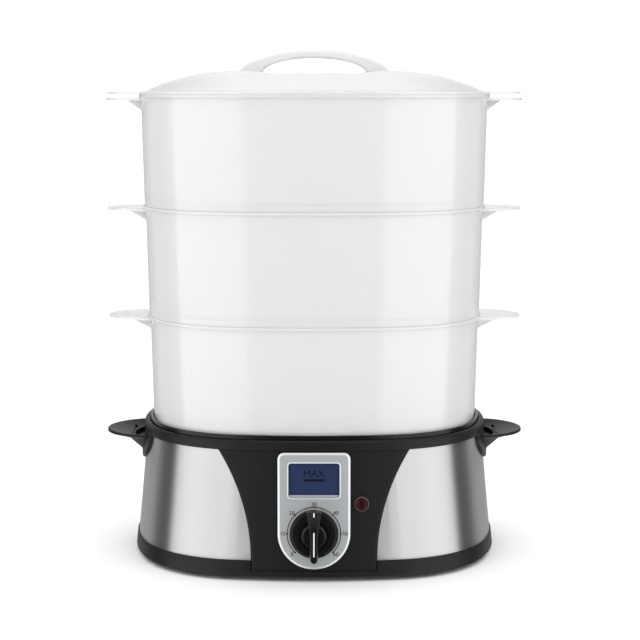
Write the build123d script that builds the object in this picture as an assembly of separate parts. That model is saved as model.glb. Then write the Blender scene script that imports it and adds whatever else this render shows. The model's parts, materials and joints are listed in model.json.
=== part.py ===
from build123d import *
import math
import os

# Three-tier electric food steamer. Millimetres, +Z up, front faces -Y.
# The origin lies on the floor, in the middle of the whole footprint.
# Sizes named ..._HALF_W and ..._HALF_D are half widths along X and half depths along Y.

# ---- driving dimensions: plan shape ----
FRONT_BOW = 3.4  # radius of the front and back arcs over the half depth
SIDE_BOW = 1.15  # radius of the side arcs over the half width
CORNER_BOW = 0.76  # radius of the corner arcs over the half depth

# ---- driving dimensions: base ----
FEET_H = 2.6
FOOT_R = 8.0
FOOT_EDGE = 0.8  # chamfer round a foot
FOOT_STUB_R = 3.0
FOOT_STUB_H = 2.0
FOOT_IN_W = 45.0  # feet's centres in from the skirt's edge
FOOT_IN_D = 49.5
SKIRT_OUT_W = 2.6  # skirt's foot beyond the steel's lower edge
SKIRT_OUT_D = 4.3
SKIRT_TOP_OUT = 1.2  # skirt's top beyond the steel's lower edge
SKIRT_WALL = 5.0
SKIRT_EDGE = 1.6  # chamfer round the skirt's foot
BODY_FOOT = 15.6  # height of the steel's lower edge
BODY_TOP = 101.6
BODY_OUT_W = 5.2  # steel's top edge beyond the lowest bowl's foot
BODY_OUT_D = 6.5
FLARE_W = 8.0  # extra half width at the steel's lower edge
FLARE_D = 4.0
STEEL_T = 0.6
WALL = 2.5
SLIP = 0.2  # gap between parts that are slid or dropped together
COVER_FLOOR_T = 2.5
AIR_SLOTS = 5
AIR_SLOT_PITCH = 12.0
AIR_SLOT_W = 3.0
AIR_SLOT_L = 30.0
AIR_SLOT_Y = 60.0
CUT = 1.0  # how far a cutting tool runs past the face that it opens

# ---- driving dimensions: tank, compartment, heater ----
TANK_FLOOR = 38.0
TANK_DRAW_IN = 8.6  # how far the tank narrows from its mouth to its floor
BAY_HALF_W = 33.0  # dry bay behind the control panel, outside
BAY_BACK = 72.0  # distance of the bay's wet wall in front of the middle
BAY_TOP = 64.0
HEATER_R = 28.0
HEATER_RISE = 4.0
HEATER_FLANGE = 9.0
SHEET_T = 1.5
GASKET_T = 2.0
ELEMENT_R = 3.4
ELEMENT_RING_R = 19.5
PIN_DROP = 13.0
CLAMP_HALF = 48.0
CLAMP_W = 14.0
CLAMP_T = 2.0
CLAMP_END = 5.0  # screw centres in from the strap's ends
CLAMP_SCREW_SHORT = 1.0  # wall left between a clamp screw's bore and the tank
THERMOSTAT_R = 8.0

# ---- driving dimensions: control panel ----
FASCIA_FOOT = 7.9
FASCIA_HALF_LOW = 49.0
FASCIA_HALF_TOP = 74.2
FASCIA_T = 3.3
FASCIA_KICK = 1.8  # how far the fascia's foot reaches out over the skirt
DIAL_Z = 37.7
BEZEL_HALF_W = 28.0
BEZEL_UP = 62.8  # top edge above the dial's centre
BEZEL_CORNER_R = 5.0
BEZEL_PROUD = 2.4
BEZEL_SUNK = 1.4
BEZEL_CHAMFER = 1.4
WINDOW_W = 39.4
WINDOW_H = 24.6
WINDOW_UP = 42.6  # window centre above the dial's centre
WINDOW_LIP = 1.5
WINDOW_FLANGE_T = 1.2
WINDOW_DEPTH = 1.2  # glass face below the bezel's face
PORT_INSET = 2.0  # window's boss in from its face, each side
WINDOW_REACH = 30.0  # how far the window's port is cut into the tank's wall
PAD_DEPTH = 4.2  # flat back of the fascia, below the panel plane
PAD_IN = 3.0  # edge of the flat back in from the bezel's sides
PAD_IN_FOOT = 6.0
PAD_IN_TOP = 4.0
LAMP_PAD = 2.0  # flat round the lamp ring
PORT_RIM = 3.0  # width of the window's flange outside its opening
PORT_SEAL = 4.8  # thickness of the gasket behind the flange
GLASS_T = 2.0
SHAFT_ROOM = 2.5  # gap round the shaft in the fascia and the bezel
KNOB_R = 18.9
KNOB_SKIRT_H = 4.2
KNOB_EDGE = 1.4
KNOB_HUB_R = 9.4
KNOB_HUB_H = 12.0
KNOB_GROOVE = 2.4  # width of the groove round the hub
KNOB_WEB_T = 2.0
KNOB_GRIP_H = 17.5
KNOB_GRIP_W = 5.4
KNOB_FLARE_W = 10.4  # width of the grip's upper end
KNOB_FLARE_L = 13.0  # length over which the grip widens
KNOB_LEAN = 1.5  # how much wider the grip is at its foot, each side
KNOB_GRIP_IN = 0.3  # grip's ends in from the disc's edge
KNOB_CAP_T = 3.0  # solid above the shaft's end
KNOB_GAP = 0.6
SHAFT_R = 3.0
RUN_FIT = 0.05  # radial clearance of the turning shaft
LAMP_X = 36.5
LAMP_UP = 23.6
LAMP_R = 4.4
LAMP_RING_R = 5.6
TIMER_W = 44.0
TIMER_H = 42.0
TIMER_D = 22.0
TIMER_CORNER = 3.0
TIMER_BUSH_T = 2.0
TIMER_BUSH_H = 3.2
TIMER_WALL = 3.0
TIMER_SCREW_IN = 5.0
TIMER_SCREW_L = 10.0  # length of a timer screw inside the case
TIMER_SCREW_BORE_L = 12.0
TIMER_HEAD_H = 1.4
TIMER_HEAD_SUNK = 1.6
BELL_R = 15.0
BELL_H = 9.0
BELL_T = 1.0
BELL_TAPER = 4.0
BELL_GAP = 1.0  # between the bell's mouth and the timer's back
BELL_POST_R = 2.0

# ---- driving dimensions: collar and carrying handles ----
COLLAR_OUT = 7.4  # collar's face beyond the lowest bowl's foot
COLLAR_TOP = 109.4
COLLAR_ROUND = 2.2
COLLAR_LEDGE = 105.0
HANDLE_OUT = 34.0  # handle's tip beyond the steel's top edge
HANDLE_HALF_D = 38.0
HANDLE_TOP = 98.6
HANDLE_ROOT = 4.0  # centre of a handle's ellipse in from the steel's top edge
HANDLE_LIP_H = 2.4  # upright rim round a handle
HANDLE_WALL = 1.9
DISH_DEEP = 5.4
DISH_DRAW_W = 18.0  # how far the dish narrows to its floor
DISH_DRAW_D = 12.0
WELL_DEEP = 10.0  # pocket between the dish and the collar
WELL_IN = 21.0  # pocket's edge in from the handle's tip
WELL_HALF_D = 23.0
BRACKET_IN = 15.6  # bracket's top in from the handle's tip
BRACKET_HALF_D = 32.0
BRACKET_KNEE = 82.0
BRACKET_KNEE_HALF_D = 20.0
BRACKET_LOW = 73.0
BRACKET_LOW_HALF_D = 7.0
BRACKET_PROUD = 0.9  # bracket's foot beyond the pad
SHIELD_HALF_D = 50.0  # pad round the bracket that hugs the steel
SHIELD_LOW = 76.0
SHIELD_T = 2.0
SADDLE = 2.0  # wall between a handle's pocket and the steel, beyond the collar's face

# ---- driving dimensions: drip tray, steam ring ----
TRAY_LIP_TOP = 112.6
TRAY_FLOOR = 88.0
TRAY_T = 2.0
TRAY_LEAN = 2.0
CHIMNEY_R = 34.0
CHIMNEY_TOP = 101.0
RING_R = 47.0
RING_H = 42.0
RING_DRAW_IN = 7.0

# ---- driving dimensions: bowls and lid ----
SEAT = 108.0  # height of the lowest bowl's bottom edge
PITCH = 88.5  # one bowl on the next
BOWL_COUNT = 3
BOWL_HALF_W = 133.2  # lowest bowl, at its bottom edge
PLAN_GAP = 24.5  # half width less half depth, the same for all bowls
BOWL_STEP = 2.8  # each bowl is this much larger than the one below
BOWL_DRAFT = 1.9  # how far a bowl widens to its rim
BOWL_WALL = 2.2
FLOOR_RISE = 5.0  # underside of the floor above the bottom edge
FLOOR_T = 2.0
FOOT_DROP = 5.0
NEST_GAP = 0.8
RIM_BEAD = 1.8
RIM_H = 2.4
EAR_OUT = 30.7  # ears' tips beyond the top bowl's foot
EAR_HALF_D = 33.0
EAR_T = 2.2
EAR_DROP = 2.4  # ear's top face below the rim
EAR_ROOT = 12.0  # centre of an ear's ellipse in from the wall's foot
EAR_EDGE = 0.9
WEB_OUT = 12.2  # rib's tip beyond the top bowl's foot
WEB_H = 8.5
WEB_T = 2.2
WEB_PITCH = 16.0
SLOT_L = 26.0
SLOT_W = 3.4
SLOT_PITCH_X = 38.0
SLOT_PITCH_Y = 20.0
SLOT_MARGIN = 12.0  # least distance from the floor's edge
LID_TOP = 19.1  # crown above the top bowl's rim
LID_FLANGE_T = 2.2
LID_EAR_UP = 0.6  # ear's top face above the flange
DOME_EDGE = 0.8  # dome's foot in from the wall
DOME_FLAT = 72.0  # edge of the flat crown in from the wall
LID_EAR_SHORT = 4.0  # how much less the lid's ears reach than the bowls'
HANDLE_ARCH_TOP = 36.5  # above the top bowl's rim
ARCH_HALF = 62.0
ARCH_OPEN_HALF = 42.0
ARCH_OPEN_H = 12.0
ARCH_W = 22.0
ARCH_SUNK = 2.0  # grip's foot below the crown
ARCH_ROUND = 2.5
DIP_HALF = 50.0
DIP_DEPTH = 2.6
VENT_R = 2.2
VENT_IN = 60.8  # vents in from the top bowl's foot

# ---- driving dimensions: fasteners and mains entry ----
SCREW_R = 1.7
SCREW_HEAD_R = 3.4
SCREW_HEAD_H = 2.0
BOSS_R = 4.5
BOSS_IN_W = 33.2  # bosses' centres in from the lowest bowl's foot
BOSS_IN_D = 64.7
BOSS_SCREW_L = 14.0  # how far a cover screw reaches above the feet
BOSS_BORE_L = 16.0
SCREW_SUNK = 1.0  # depth of the heads' recess in the cover
TERMINALS = 3
TERMINAL_PITCH = 12.0
TERMINAL_D = 14.0
TERMINAL_H = 14.0
TERMINAL_IN = 40.0  # block's back face in from the wall
TERMINAL_SCREW_R = 2.2
TERMINAL_WIRE_R = 1.8
GLAND_NECK = 5.8  # half width of the bushing's square neck
GLAND_R = 5.4
GLAND_FLANGE_R = 9.0
GLAND_FLANGE_OUT = 3.0  # outer flange beyond the steel's lower edge
GLAND_FLANGE_T = 2.5
GLAND_BORE_R = 3.5
GLAND_OUT = 7.0
GLAND_IN = 3.5  # how far the bushing runs in past its inner flange


# ---- derived plan sizes ----
BOWL_HALF_D = BOWL_HALF_W - PLAN_GAP
TOP_BOWL_HALF_W = BOWL_HALF_W + BOWL_STEP * (BOWL_COUNT - 1)
EAR_REACH = TOP_BOWL_HALF_W + EAR_OUT
LID_EAR_REACH = EAR_REACH - LID_EAR_SHORT
WEB_REACH = TOP_BOWL_HALF_W + WEB_OUT
BODY_HALF_W = BOWL_HALF_W + BODY_OUT_W  # at the top of the steel
BODY_HALF_D = BOWL_HALF_D + BODY_OUT_D
SKIRT_HALF_W = BODY_HALF_W + FLARE_W + SKIRT_OUT_W
SKIRT_HALF_D = BODY_HALF_D + FLARE_D + SKIRT_OUT_D
FOOT_X = SKIRT_HALF_W - FOOT_IN_W
FOOT_Y = SKIRT_HALF_D - FOOT_IN_D
BOSS_X = BOWL_HALF_W - BOSS_IN_W
BOSS_Y = BOWL_HALF_D - BOSS_IN_D
HANDLE_REACH = BODY_HALF_W + HANDLE_OUT
DECK_LOW = BODY_TOP - WALL  # underside of the tank's deck
COVER_FLOOR = FEET_H + COVER_FLOOR_T
TANK_UNDER = TANK_FLOOR - WALL
FLANGE_TOP = TANK_UNDER - GASKET_T
FLANGE_R = HEATER_R + HEATER_FLANGE
CLAMP_TOP = FLANGE_TOP - SHEET_T
CLAMP_SCREW_X = CLAMP_HALF - CLAMP_END
DISH_UNDER = TANK_FLOOR + HEATER_RISE - SHEET_T
TIMER_SCREW_X = TIMER_W / 2 - TIMER_SCREW_IN


# ---- plan curves and drafted blocks ----
def oval(half_w, half_d, grow=0.0):
    """Face of eight tangent arcs on XY; grow offsets the outline outward."""
    front_r = FRONT_BOW * half_d
    side_r = SIDE_BOW * half_w
    corner_r = CORNER_BOW * half_d
    front = (0.0, half_d - front_r)
    side = (half_w - side_r, 0.0)
    # the corner's centre is where two circles about the other centres cross
    reach_f = front_r - corner_r
    reach_s = side_r - corner_r
    span = math.dist(front, side)
    along = (reach_f**2 - reach_s**2 + span**2) / (2 * span)
    off = math.sqrt(reach_f**2 - along**2)
    ux, uy = (side[0] - front[0]) / span, (side[1] - front[1]) / span
    cx, cy = front[0] + ux * along + uy * off, front[1] + uy * along - ux * off
    turn_f = math.degrees(math.atan2(cy - front[1], cx))
    turn_s = math.degrees(math.atan2(cy, cx - side[0]))
    corner = turn_f - turn_s
    arcs = [
        CenterArc((side[0], 0), side_r + grow, -turn_s, 2 * turn_s),
        CenterArc((cx, cy), corner_r + grow, turn_s, corner),
        CenterArc(front, front_r + grow, turn_f, 180 - 2 * turn_f),
        CenterArc((-cx, cy), corner_r + grow, 180 - turn_f, corner),
        CenterArc((-side[0], 0), side_r + grow, 180 - turn_s, 2 * turn_s),
        CenterArc((-cx, -cy), corner_r + grow, 180 + turn_s, corner),
        CenterArc((0, -front[1]), front_r + grow, 180 + turn_f, 180 - 2 * turn_f),
        CenterArc((cx, -cy), corner_r + grow, -turn_f, corner),
    ]
    return Face(Wire([arc.edge() for arc in arcs]))


def block(*levels):
    """Solid through ovals, each level (z, half width, half depth, grow)."""
    faces = [Pos(0, 0, z) * oval(w, d, grow) for z, w, d, grow in levels]
    return loft(faces, ruled=True)


def ring(z_low, z_high, w, d, grow_out, grow_in):
    """Upright oval ring between two offsets of one oval."""
    return extrude(Pos(0, 0, z_low) * oval(w, d, grow_out), z_high - z_low) - extrude(
        Pos(0, 0, z_low - 1) * oval(w, d, grow_in), z_high - z_low + 2
    )


def body_at(z):
    """Half width and half depth of the body's outer face at height z."""
    t = (BODY_TOP - z) / (BODY_TOP - BODY_FOOT)
    return BODY_HALF_W + FLARE_W * t, BODY_HALF_D + FLARE_D * t


def body_block(z_low, z_high, grow):
    """Block bounded by the body's flared face, offset by grow."""
    return block((z_low, *body_at(z_low), grow), (z_high, *body_at(z_high), grow))


def cylinder(r, z_low, z_high, x=0.0, y=0.0):
    """Upright cylinder between two heights."""
    return Pos(x, y, (z_low + z_high) / 2) * Cylinder(r, z_high - z_low)


def cuboid(x0, x1, y0, y1, z0, z1):
    """Box between two corners."""
    return Pos((x0 + x1) / 2, (y0 + y1) / 2, (z0 + z1) / 2) * Box(x1 - x0, y1 - y0, z1 - z0)


# ---- derived places ----
PANEL_TILT = math.degrees(math.atan2(FLARE_D, BODY_TOP - BODY_FOOT))
PANEL_Y = -body_at(DIAL_Z)[1]
PANEL = Plane(
    origin=(0, PANEL_Y, DIAL_Z),
    x_dir=(1, 0, 0),
    z_dir=(0, -math.cos(math.radians(PANEL_TILT)), math.sin(math.radians(PANEL_TILT))),
)
INNER = -(STEEL_T + SLIP)  # offset of the housing's outer face
NEST = BOWL_STEP - BOWL_DRAFT + BOWL_WALL  # a rim's inner face inside the bowl above
TRAY_WELL = -NEST  # tray's inner face, as an offset of the lowest bowl
TRAY_LIP = NEST_GAP + TRAY_T  # tray's outer face, as an offset of the lowest bowl
COLLAR_BORE = TRAY_WELL + TRAY_T + 2 * SLIP  # mouth of the collar below its ledge
COLLAR_WELL = TRAY_LIP + 2 * SLIP  # mouth of the collar above its ledge
FRONT_REACH = -PANEL_Y + BEZEL_PROUD + KNOB_GAP + KNOB_GRIP_H
BACK_REACH = max(SKIRT_HALF_D, body_at(BODY_FOOT)[1] + GLAND_OUT)
CENTRE_Y = (FRONT_REACH - BACK_REACH) / 2  # shift that centres the footprint


def on_panel(shape):
    """Carries a shape drawn about the dial's centre onto the leaning front."""
    return PANEL.location * shape


def slab(w, h, low, high, up=0.0, across=0.0, r=0.0):
    """Upright plate drawn on the panel, from one depth to another."""
    sketch = RectangleRounded(w, h, r) if r else Rectangle(w, h)
    return Pos(across, up, low) * extrude(sketch, high - low)


def panel_rod(r, low, high, up=0.0, across=0.0):
    """Cylinder square to the panel, from one depth to another."""
    return Pos(across, up, (low + high) / 2) * Cylinder(r, high - low)


# ---- base: bottom cover, feet, housing ----
def skirt_at(z):
    """Half width and half depth of the skirt at height z."""
    t = (z - FEET_H) / (BODY_FOOT - FEET_H)
    top_w, top_d = body_at(BODY_FOOT)
    draw_w = SKIRT_HALF_W - top_w - SKIRT_TOP_OUT
    draw_d = SKIRT_HALF_D - top_d - SKIRT_TOP_OUT
    return SKIRT_HALF_W - draw_w * t, SKIRT_HALF_D - draw_d * t


def fascia_outline(spread=0.0):
    """Prism of the fascia's front view: straight foot, hollow sides, wide top."""
    low, top = FASCIA_HALF_LOW + spread, FASCIA_HALF_TOP + spread
    z_low, z_arc, z_top = FASCIA_FOOT, BODY_FOOT, BODY_TOP
    rise, run = z_top - z_arc, top - low
    r = (rise**2 + run**2) / (2 * run)
    half_turn = math.asin(rise / r) / 2
    mid = (low + r * (1 - math.cos(half_turn)), z_arc + r * math.sin(half_turn))
    edges = [
        Line((-low, z_low), (low, z_low)),
        Line((low, z_low), (low, z_arc)),
        ThreePointArc((low, z_arc), mid, (top, z_top)),
        Line((top, z_top), (-top, z_top)),
        ThreePointArc((-top, z_top), (-mid[0], mid[1]), (-low, z_arc)),
        Line((-low, z_arc), (-low, z_low)),
    ]
    face = Face(Wire([edge.edge() for edge in edges]))
    return extrude(Plane.XZ.location * face, SKIRT_HALF_D * 1.2)


def boss_places():
    """Plan places of the four screw bosses."""
    return [(x, y) for x in (-BOSS_X, BOSS_X) for y in (-BOSS_Y, BOSS_Y)]


def make_bottom_cover():
    """Dished cover: skirt wall, floor, countersunk screw holes, air slots and sockets for the feet."""
    top_w, top_d = skirt_at(BODY_FOOT)
    edge_top = FEET_H + SKIRT_EDGE
    outer = block(
        (FEET_H, SKIRT_HALF_W, SKIRT_HALF_D, -SKIRT_EDGE),
        (edge_top, *skirt_at(edge_top), 0),
        (BODY_FOOT, top_w, top_d, 0),
    )
    inner = block(
        (COVER_FLOOR, *skirt_at(COVER_FLOOR), -SKIRT_WALL),
        (BODY_FOOT + CUT, top_w, top_d, -SKIRT_WALL),
    )
    cover = outer - inner - fascia_outline(SLIP) - gland_hole()
    for x, y in boss_places():
        cover -= cylinder(SCREW_R + SLIP, FEET_H - CUT, COVER_FLOOR + CUT, x, y)
        cover -= cylinder(SCREW_HEAD_R + SLIP, FEET_H - CUT, FEET_H + SCREW_SUNK, x, y)
    for x, y in foot_places().values():
        cover -= cylinder(FOOT_STUB_R, FEET_H - CUT, FEET_H + FOOT_STUB_H, x, y)
    for place in range(-(AIR_SLOTS // 2), AIR_SLOTS // 2 + 1):
        x = place * AIR_SLOT_PITCH
        cover -= cuboid(
            x - AIR_SLOT_W / 2,
            x + AIR_SLOT_W / 2,
            AIR_SLOT_Y,
            AIR_SLOT_Y + AIR_SLOT_L,
            FEET_H - CUT,
            COVER_FLOOR + CUT,
        )
    return cover


def foot_places():
    """Plan places of the four feet, by node name."""
    sides = (("left", -1), ("right", 1))
    ends = (("front", -1), ("rear", 1))
    return {
        f"foot_{end}_{side}": (across * FOOT_X, along * FOOT_Y)
        for end, along in ends
        for side, across in sides
    }


def make_foot(x, y):
    """Rubber foot whose stub is pushed up into the cover's floor."""
    pad = cylinder(FOOT_R, 0, FEET_H, x, y)
    pad = chamfer(pad.edges().group_by(Axis.Z)[0], FOOT_EDGE)
    return pad + cylinder(FOOT_STUB_R, FEET_H, FEET_H + FOOT_STUB_H, x, y)


def tank_block(z_low, spread=0.0):
    """The water's space below the collar, from a height up; spread offsets it."""
    draw_in = TANK_DRAW_IN * (BODY_TOP - z_low) / (BODY_TOP - TANK_FLOOR)
    w, d = BOWL_HALF_W, BOWL_HALF_D
    return block(
        (z_low, w, d, COLLAR_BORE - draw_in + spread), (BODY_TOP, w, d, COLLAR_BORE + spread)
    )


def make_base_housing():
    """Moulded shell that backs the steel, clamped between the tank's deck and the cover."""
    shell = body_block(BODY_FOOT, DECK_LOW, INNER) - body_block(
        BODY_FOOT - CUT, DECK_LOW + CUT, INNER - WALL
    )
    return shell - tank_block(TANK_UNDER, WALL + SLIP) - fascia_outline(SLIP) - gland_hole()


def make_water_tank():
    """Tank under a deck, with a dry bay behind the panel and bosses below its floor."""
    deck = body_block(DECK_LOW, BODY_TOP, INNER)
    tank = tank_block(TANK_UNDER, WALL)
    water = tank_block(TANK_FLOOR)
    bay = cuboid(-BAY_HALF_W, BAY_HALF_W, -SKIRT_HALF_D, -BAY_BACK, 0, BAY_TOP)
    half = BAY_HALF_W - WALL
    dry = cuboid(-half, half, -SKIRT_HALF_D, -BAY_BACK - WALL, 0, BAY_TOP - WALL)
    front = fascia_outline(SLIP) - body_block(0, BODY_TOP + CUT, -FASCIA_T - SLIP)
    body = deck + tank - (water - bay) - dry - front
    for x, y in boss_places():
        body += cylinder(BOSS_R, COVER_FLOOR, TANK_UNDER, x, y)
        body -= cylinder(SCREW_R, COVER_FLOOR - CUT, FEET_H + BOSS_BORE_L, x, y)
    for x in (-CLAMP_SCREW_X, CLAMP_SCREW_X):
        body += cylinder(BOSS_R, CLAMP_TOP, TANK_UNDER, x, 0)
        body -= cylinder(SCREW_R, CLAMP_TOP - CUT, TANK_UNDER - CLAMP_SCREW_SHORT, x, 0)
    body -= cylinder(HEATER_R + SLIP, TANK_UNDER - CUT, TANK_FLOOR + CUT)
    port_w = WINDOW_W - 2 * PORT_INSET + 2 * SLIP
    port_h = WINDOW_H - 2 * PORT_INSET + 2 * SLIP
    return body - on_panel(slab(port_w, port_h, -WINDOW_REACH, 0, WINDOW_UP))


def gland_hole():
    """Square hole for the cord's bushing, half in the skirt and half in the wall above it."""
    half = GLAND_NECK + SLIP
    face = body_at(BODY_FOOT)[1]
    reach = 2 * SKIRT_WALL
    return cuboid(-half, half, face - reach, face + reach, BODY_FOOT - half, BODY_FOOT + half)


def make_steel_wrap():
    wrap = body_block(BODY_FOOT, BODY_TOP - SLIP, 0) - body_block(
        BODY_FOOT - 1, BODY_TOP + 1, -STEEL_T
    )
    return wrap - fascia_outline() - gland_hole()


def make_front_fascia():
    kick = block(
        (FASCIA_FOOT, *body_at(BODY_FOOT), FASCIA_KICK), (BODY_FOOT, *body_at(BODY_FOOT), 0)
    )
    outer = body_block(BODY_FOOT, BODY_TOP, 0) + kick
    inner = body_block(FASCIA_FOOT - 1, BODY_TOP + 1, -FASCIA_T)
    plate = (outer - inner) & fascia_outline(-SLIP)
    pad_low, pad_high = PAD_IN_FOOT - BEZEL_HALF_W, BEZEL_UP - PAD_IN_TOP
    pad_w, pad_h = 2 * (BEZEL_HALF_W - PAD_IN), pad_high - pad_low
    pad = slab(pad_w, pad_h, -PAD_DEPTH, -FASCIA_T / 2, (pad_high + pad_low) / 2)
    lamp_pad = panel_rod(LAMP_RING_R + LAMP_PAD, -PAD_DEPTH, -FASCIA_T * 0.9, LAMP_UP, LAMP_X)
    plate = plate + on_panel(pad) + on_panel(lamp_pad)
    back, front = -PAD_DEPTH - CUT, BEZEL_PROUD + CUT
    holes = bezel_blank(SLIP, -BEZEL_SUNK, front)
    holes += slab(WINDOW_W + 2 * SLIP, WINDOW_H + 2 * SLIP, back, front, WINDOW_UP)
    holes += panel_rod(SHAFT_R + SHAFT_ROOM, back, front)
    holes += panel_rod(LAMP_R + SLIP, back - FASCIA_T, front, LAMP_UP, LAMP_X)
    for x in (-TIMER_SCREW_X, TIMER_SCREW_X):
        holes += panel_rod(SCREW_R + SLIP, back, front, 0, x)
    return plate - on_panel(holes)


def bezel_blank(spread, low, high):
    """Bezel outline: round foot about the dial, square shoulders with small corners."""
    half = BEZEL_HALF_W + spread
    up = BEZEL_UP + spread
    body = Pos(0, up / 2) * Rectangle(2 * half, up)
    body = fillet(body.vertices().group_by(Axis.Y)[-1], BEZEL_CORNER_R + spread)
    return Pos(0, 0, low) * extrude(body + Circle(half), high - low)


def make_control_bezel():
    plate = bezel_blank(0, -BEZEL_SUNK, BEZEL_PROUD)
    plate = chamfer(plate.faces().sort_by(Axis.Z)[-1].outer_wire().edges(), BEZEL_CHAMFER)
    lip = slab(
        WINDOW_W + 2 * WINDOW_LIP + 0.8,
        WINDOW_H + 2 * WINDOW_LIP + 0.8,
        BEZEL_PROUD,
        BEZEL_PROUD + 0.7,
        WINDOW_UP - 0.3,
        r=2.4,
    )
    lip = chamfer(lip.faces().sort_by(Axis.Z)[-1].edges(), 0.5)
    cut = slab(WINDOW_W, WINDOW_H, -BEZEL_SUNK - 1, BEZEL_PROUD + 2, WINDOW_UP, r=1.6)
    cut += panel_rod(SHAFT_R + SHAFT_ROOM, -BEZEL_SUNK - CUT, BEZEL_PROUD + CUT)
    head = BEZEL_PROUD - TIMER_HEAD_SUNK
    for x in (-TIMER_SCREW_X, TIMER_SCREW_X):
        cut += panel_rod(SCREW_R + SLIP, -BEZEL_SUNK - CUT, BEZEL_PROUD + CUT, 0, x)
        cut += panel_rod(SCREW_HEAD_R + SLIP, head, BEZEL_PROUD + CUT, 0, x)
    return on_panel(plate + lip - cut)


def make_level_window():
    """Tinted cup: its face fills the bezel's opening, its boss enters the tank."""
    face = BEZEL_PROUD - WINDOW_DEPTH
    fit = 2 * SLIP
    cup = slab(WINDOW_W - fit, WINDOW_H - fit, -PAD_DEPTH, face, WINDOW_UP, r=1.5)
    low = -PAD_DEPTH - WINDOW_FLANGE_T
    cup += slab(WINDOW_W + 2 * PORT_RIM, WINDOW_H + PORT_RIM * 0.7, low, -PAD_DEPTH, WINDOW_UP)
    boss_w, boss_h = WINDOW_W - 2 * PORT_INSET, WINDOW_H - 2 * PORT_INSET
    cup += slab(boss_w, boss_h, -WINDOW_REACH, -PAD_DEPTH, WINDOW_UP)
    room_w, room_h = boss_w - 2 * GLASS_T, boss_h - 2 * GLASS_T
    cup -= slab(room_w, room_h, -WINDOW_REACH - CUT, face - GLASS_T, WINDOW_UP)
    return on_panel(cup) - tank_block(TANK_FLOOR)


def make_window_gasket():
    """Rubber frame squeezed between the window's flange and the tank wall."""
    boss_w = WINDOW_W - 2 * PORT_INSET + 2 * SLIP
    boss_h = WINDOW_H - 2 * PORT_INSET + 2 * SLIP
    front = -PAD_DEPTH - WINDOW_FLANGE_T
    low = front - PORT_SEAL
    frame = slab(WINDOW_W + PORT_RIM, WINDOW_H + PORT_RIM / 3, low, front, WINDOW_UP)
    frame -= slab(boss_w, boss_h, low - CUT, 0, WINDOW_UP)
    return on_panel(frame) - tank_block(TANK_UNDER, WALL)


# ---- controls ----
def make_indicator_lens():
    dome_h = 1.6
    lens = panel_rod(LAMP_R, -PAD_DEPTH - 3, 1.0, LAMP_UP, LAMP_X)
    dome = Pos(LAMP_X, LAMP_UP, 1.0) * extrude(Circle(LAMP_R), dome_h, taper=38)
    hollow = panel_rod(LAMP_R - 1.2, -PAD_DEPTH - 4, 0, LAMP_UP, LAMP_X)
    return on_panel(lens + dome - hollow)


def make_lamp_ring():
    """Trim ring round the lens, seated on the fascia's face."""
    ring_body = panel_rod(LAMP_RING_R, -3.0, 1.4, LAMP_UP, LAMP_X)
    ring_body = chamfer(ring_body.edges().sort_by(Axis.Z)[-1], 0.6)
    bore = panel_rod(LAMP_R + SLIP, -4, 3, LAMP_UP, LAMP_X)
    return on_panel(ring_body - bore) - body_block(BODY_FOOT, BODY_TOP, 0)


def make_neon_lamp():
    bulb = panel_rod(2.4, -PAD_DEPTH - 6, -2.5, LAMP_UP, LAMP_X)
    bulb = fillet(bulb.edges().sort_by(Axis.Z)[-1], 2.2)
    return on_panel(bulb)


def make_timer_case():
    case = slab(TIMER_W, TIMER_H, -PAD_DEPTH - TIMER_D, -PAD_DEPTH, r=TIMER_CORNER)
    case += panel_rod(SHAFT_R + TIMER_BUSH_T, -PAD_DEPTH, TIMER_BUSH_H - PAD_DEPTH)
    case -= panel_rod(SHAFT_R + RUN_FIT, TIMER_WALL - PAD_DEPTH - TIMER_D, BEZEL_PROUD)
    for x in (-TIMER_SCREW_X, TIMER_SCREW_X):
        case -= panel_rod(SCREW_R, -PAD_DEPTH - TIMER_SCREW_BORE_L, BEZEL_PROUD, 0, x)
    return on_panel(case)


def make_timer_bell():
    """Bell dome on the back of the timer, with its post."""
    back = -PAD_DEPTH - TIMER_D
    dome_h = BELL_H - BELL_GAP
    dome = Pos(0, 0, back - BELL_GAP - dome_h / 2) * Cone(BELL_R - BELL_TAPER, BELL_R, dome_h)
    room_h = dome_h - BELL_T
    room = Cone(BELL_R - BELL_TAPER - BELL_T, BELL_R - BELL_T, room_h)
    dome -= Pos(0, 0, back - BELL_GAP - room_h / 2) * room
    return on_panel(dome + panel_rod(BELL_POST_R, back - BELL_H + BELL_T / 2, back))


def make_timer_shaft():
    """Shaft with a flat for the knob."""
    low = BEZEL_PROUD + KNOB_GAP
    top = low + KNOB_HUB_H - KNOB_CAP_T
    shaft = panel_rod(SHAFT_R, TIMER_WALL + SLIP - PAD_DEPTH - TIMER_D, top)
    flat = slab(2 * SHAFT_R, SHAFT_R, low, top + CUT, SHAFT_R * 1.25)
    return on_panel(shaft - flat)


def grip_face(spread, shrink):
    """Front view of the grip: a bar with a round lower end that widens to its upper end."""
    half, flare = KNOB_GRIP_W / 2 + spread, KNOB_FLARE_W / 2 + spread
    reach = KNOB_R - KNOB_GRIP_IN - shrink
    low = half - reach
    top = math.sqrt(reach**2 - flare**2)
    start = top - KNOB_FLARE_L
    run = flare - half
    r = (KNOB_FLARE_L**2 + run**2) / (2 * run)
    turn = math.asin(KNOB_FLARE_L / r) / 2
    mid = (half + r * (1 - math.cos(turn)), start + r * math.sin(turn))
    edges = [
        ThreePointArc((-half, low), (0, -reach), (half, low)),
        Line((half, low), (half, start)),
        ThreePointArc((half, start), mid, (flare, top)),
        ThreePointArc((flare, top), (0, reach), (-flare, top)),
        ThreePointArc((-flare, top), (-mid[0], mid[1]), (-half, start)),
        Line((-half, start), (-half, low)),
    ]
    return Face(Wire([edge.edge() for edge in edges]))


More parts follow.
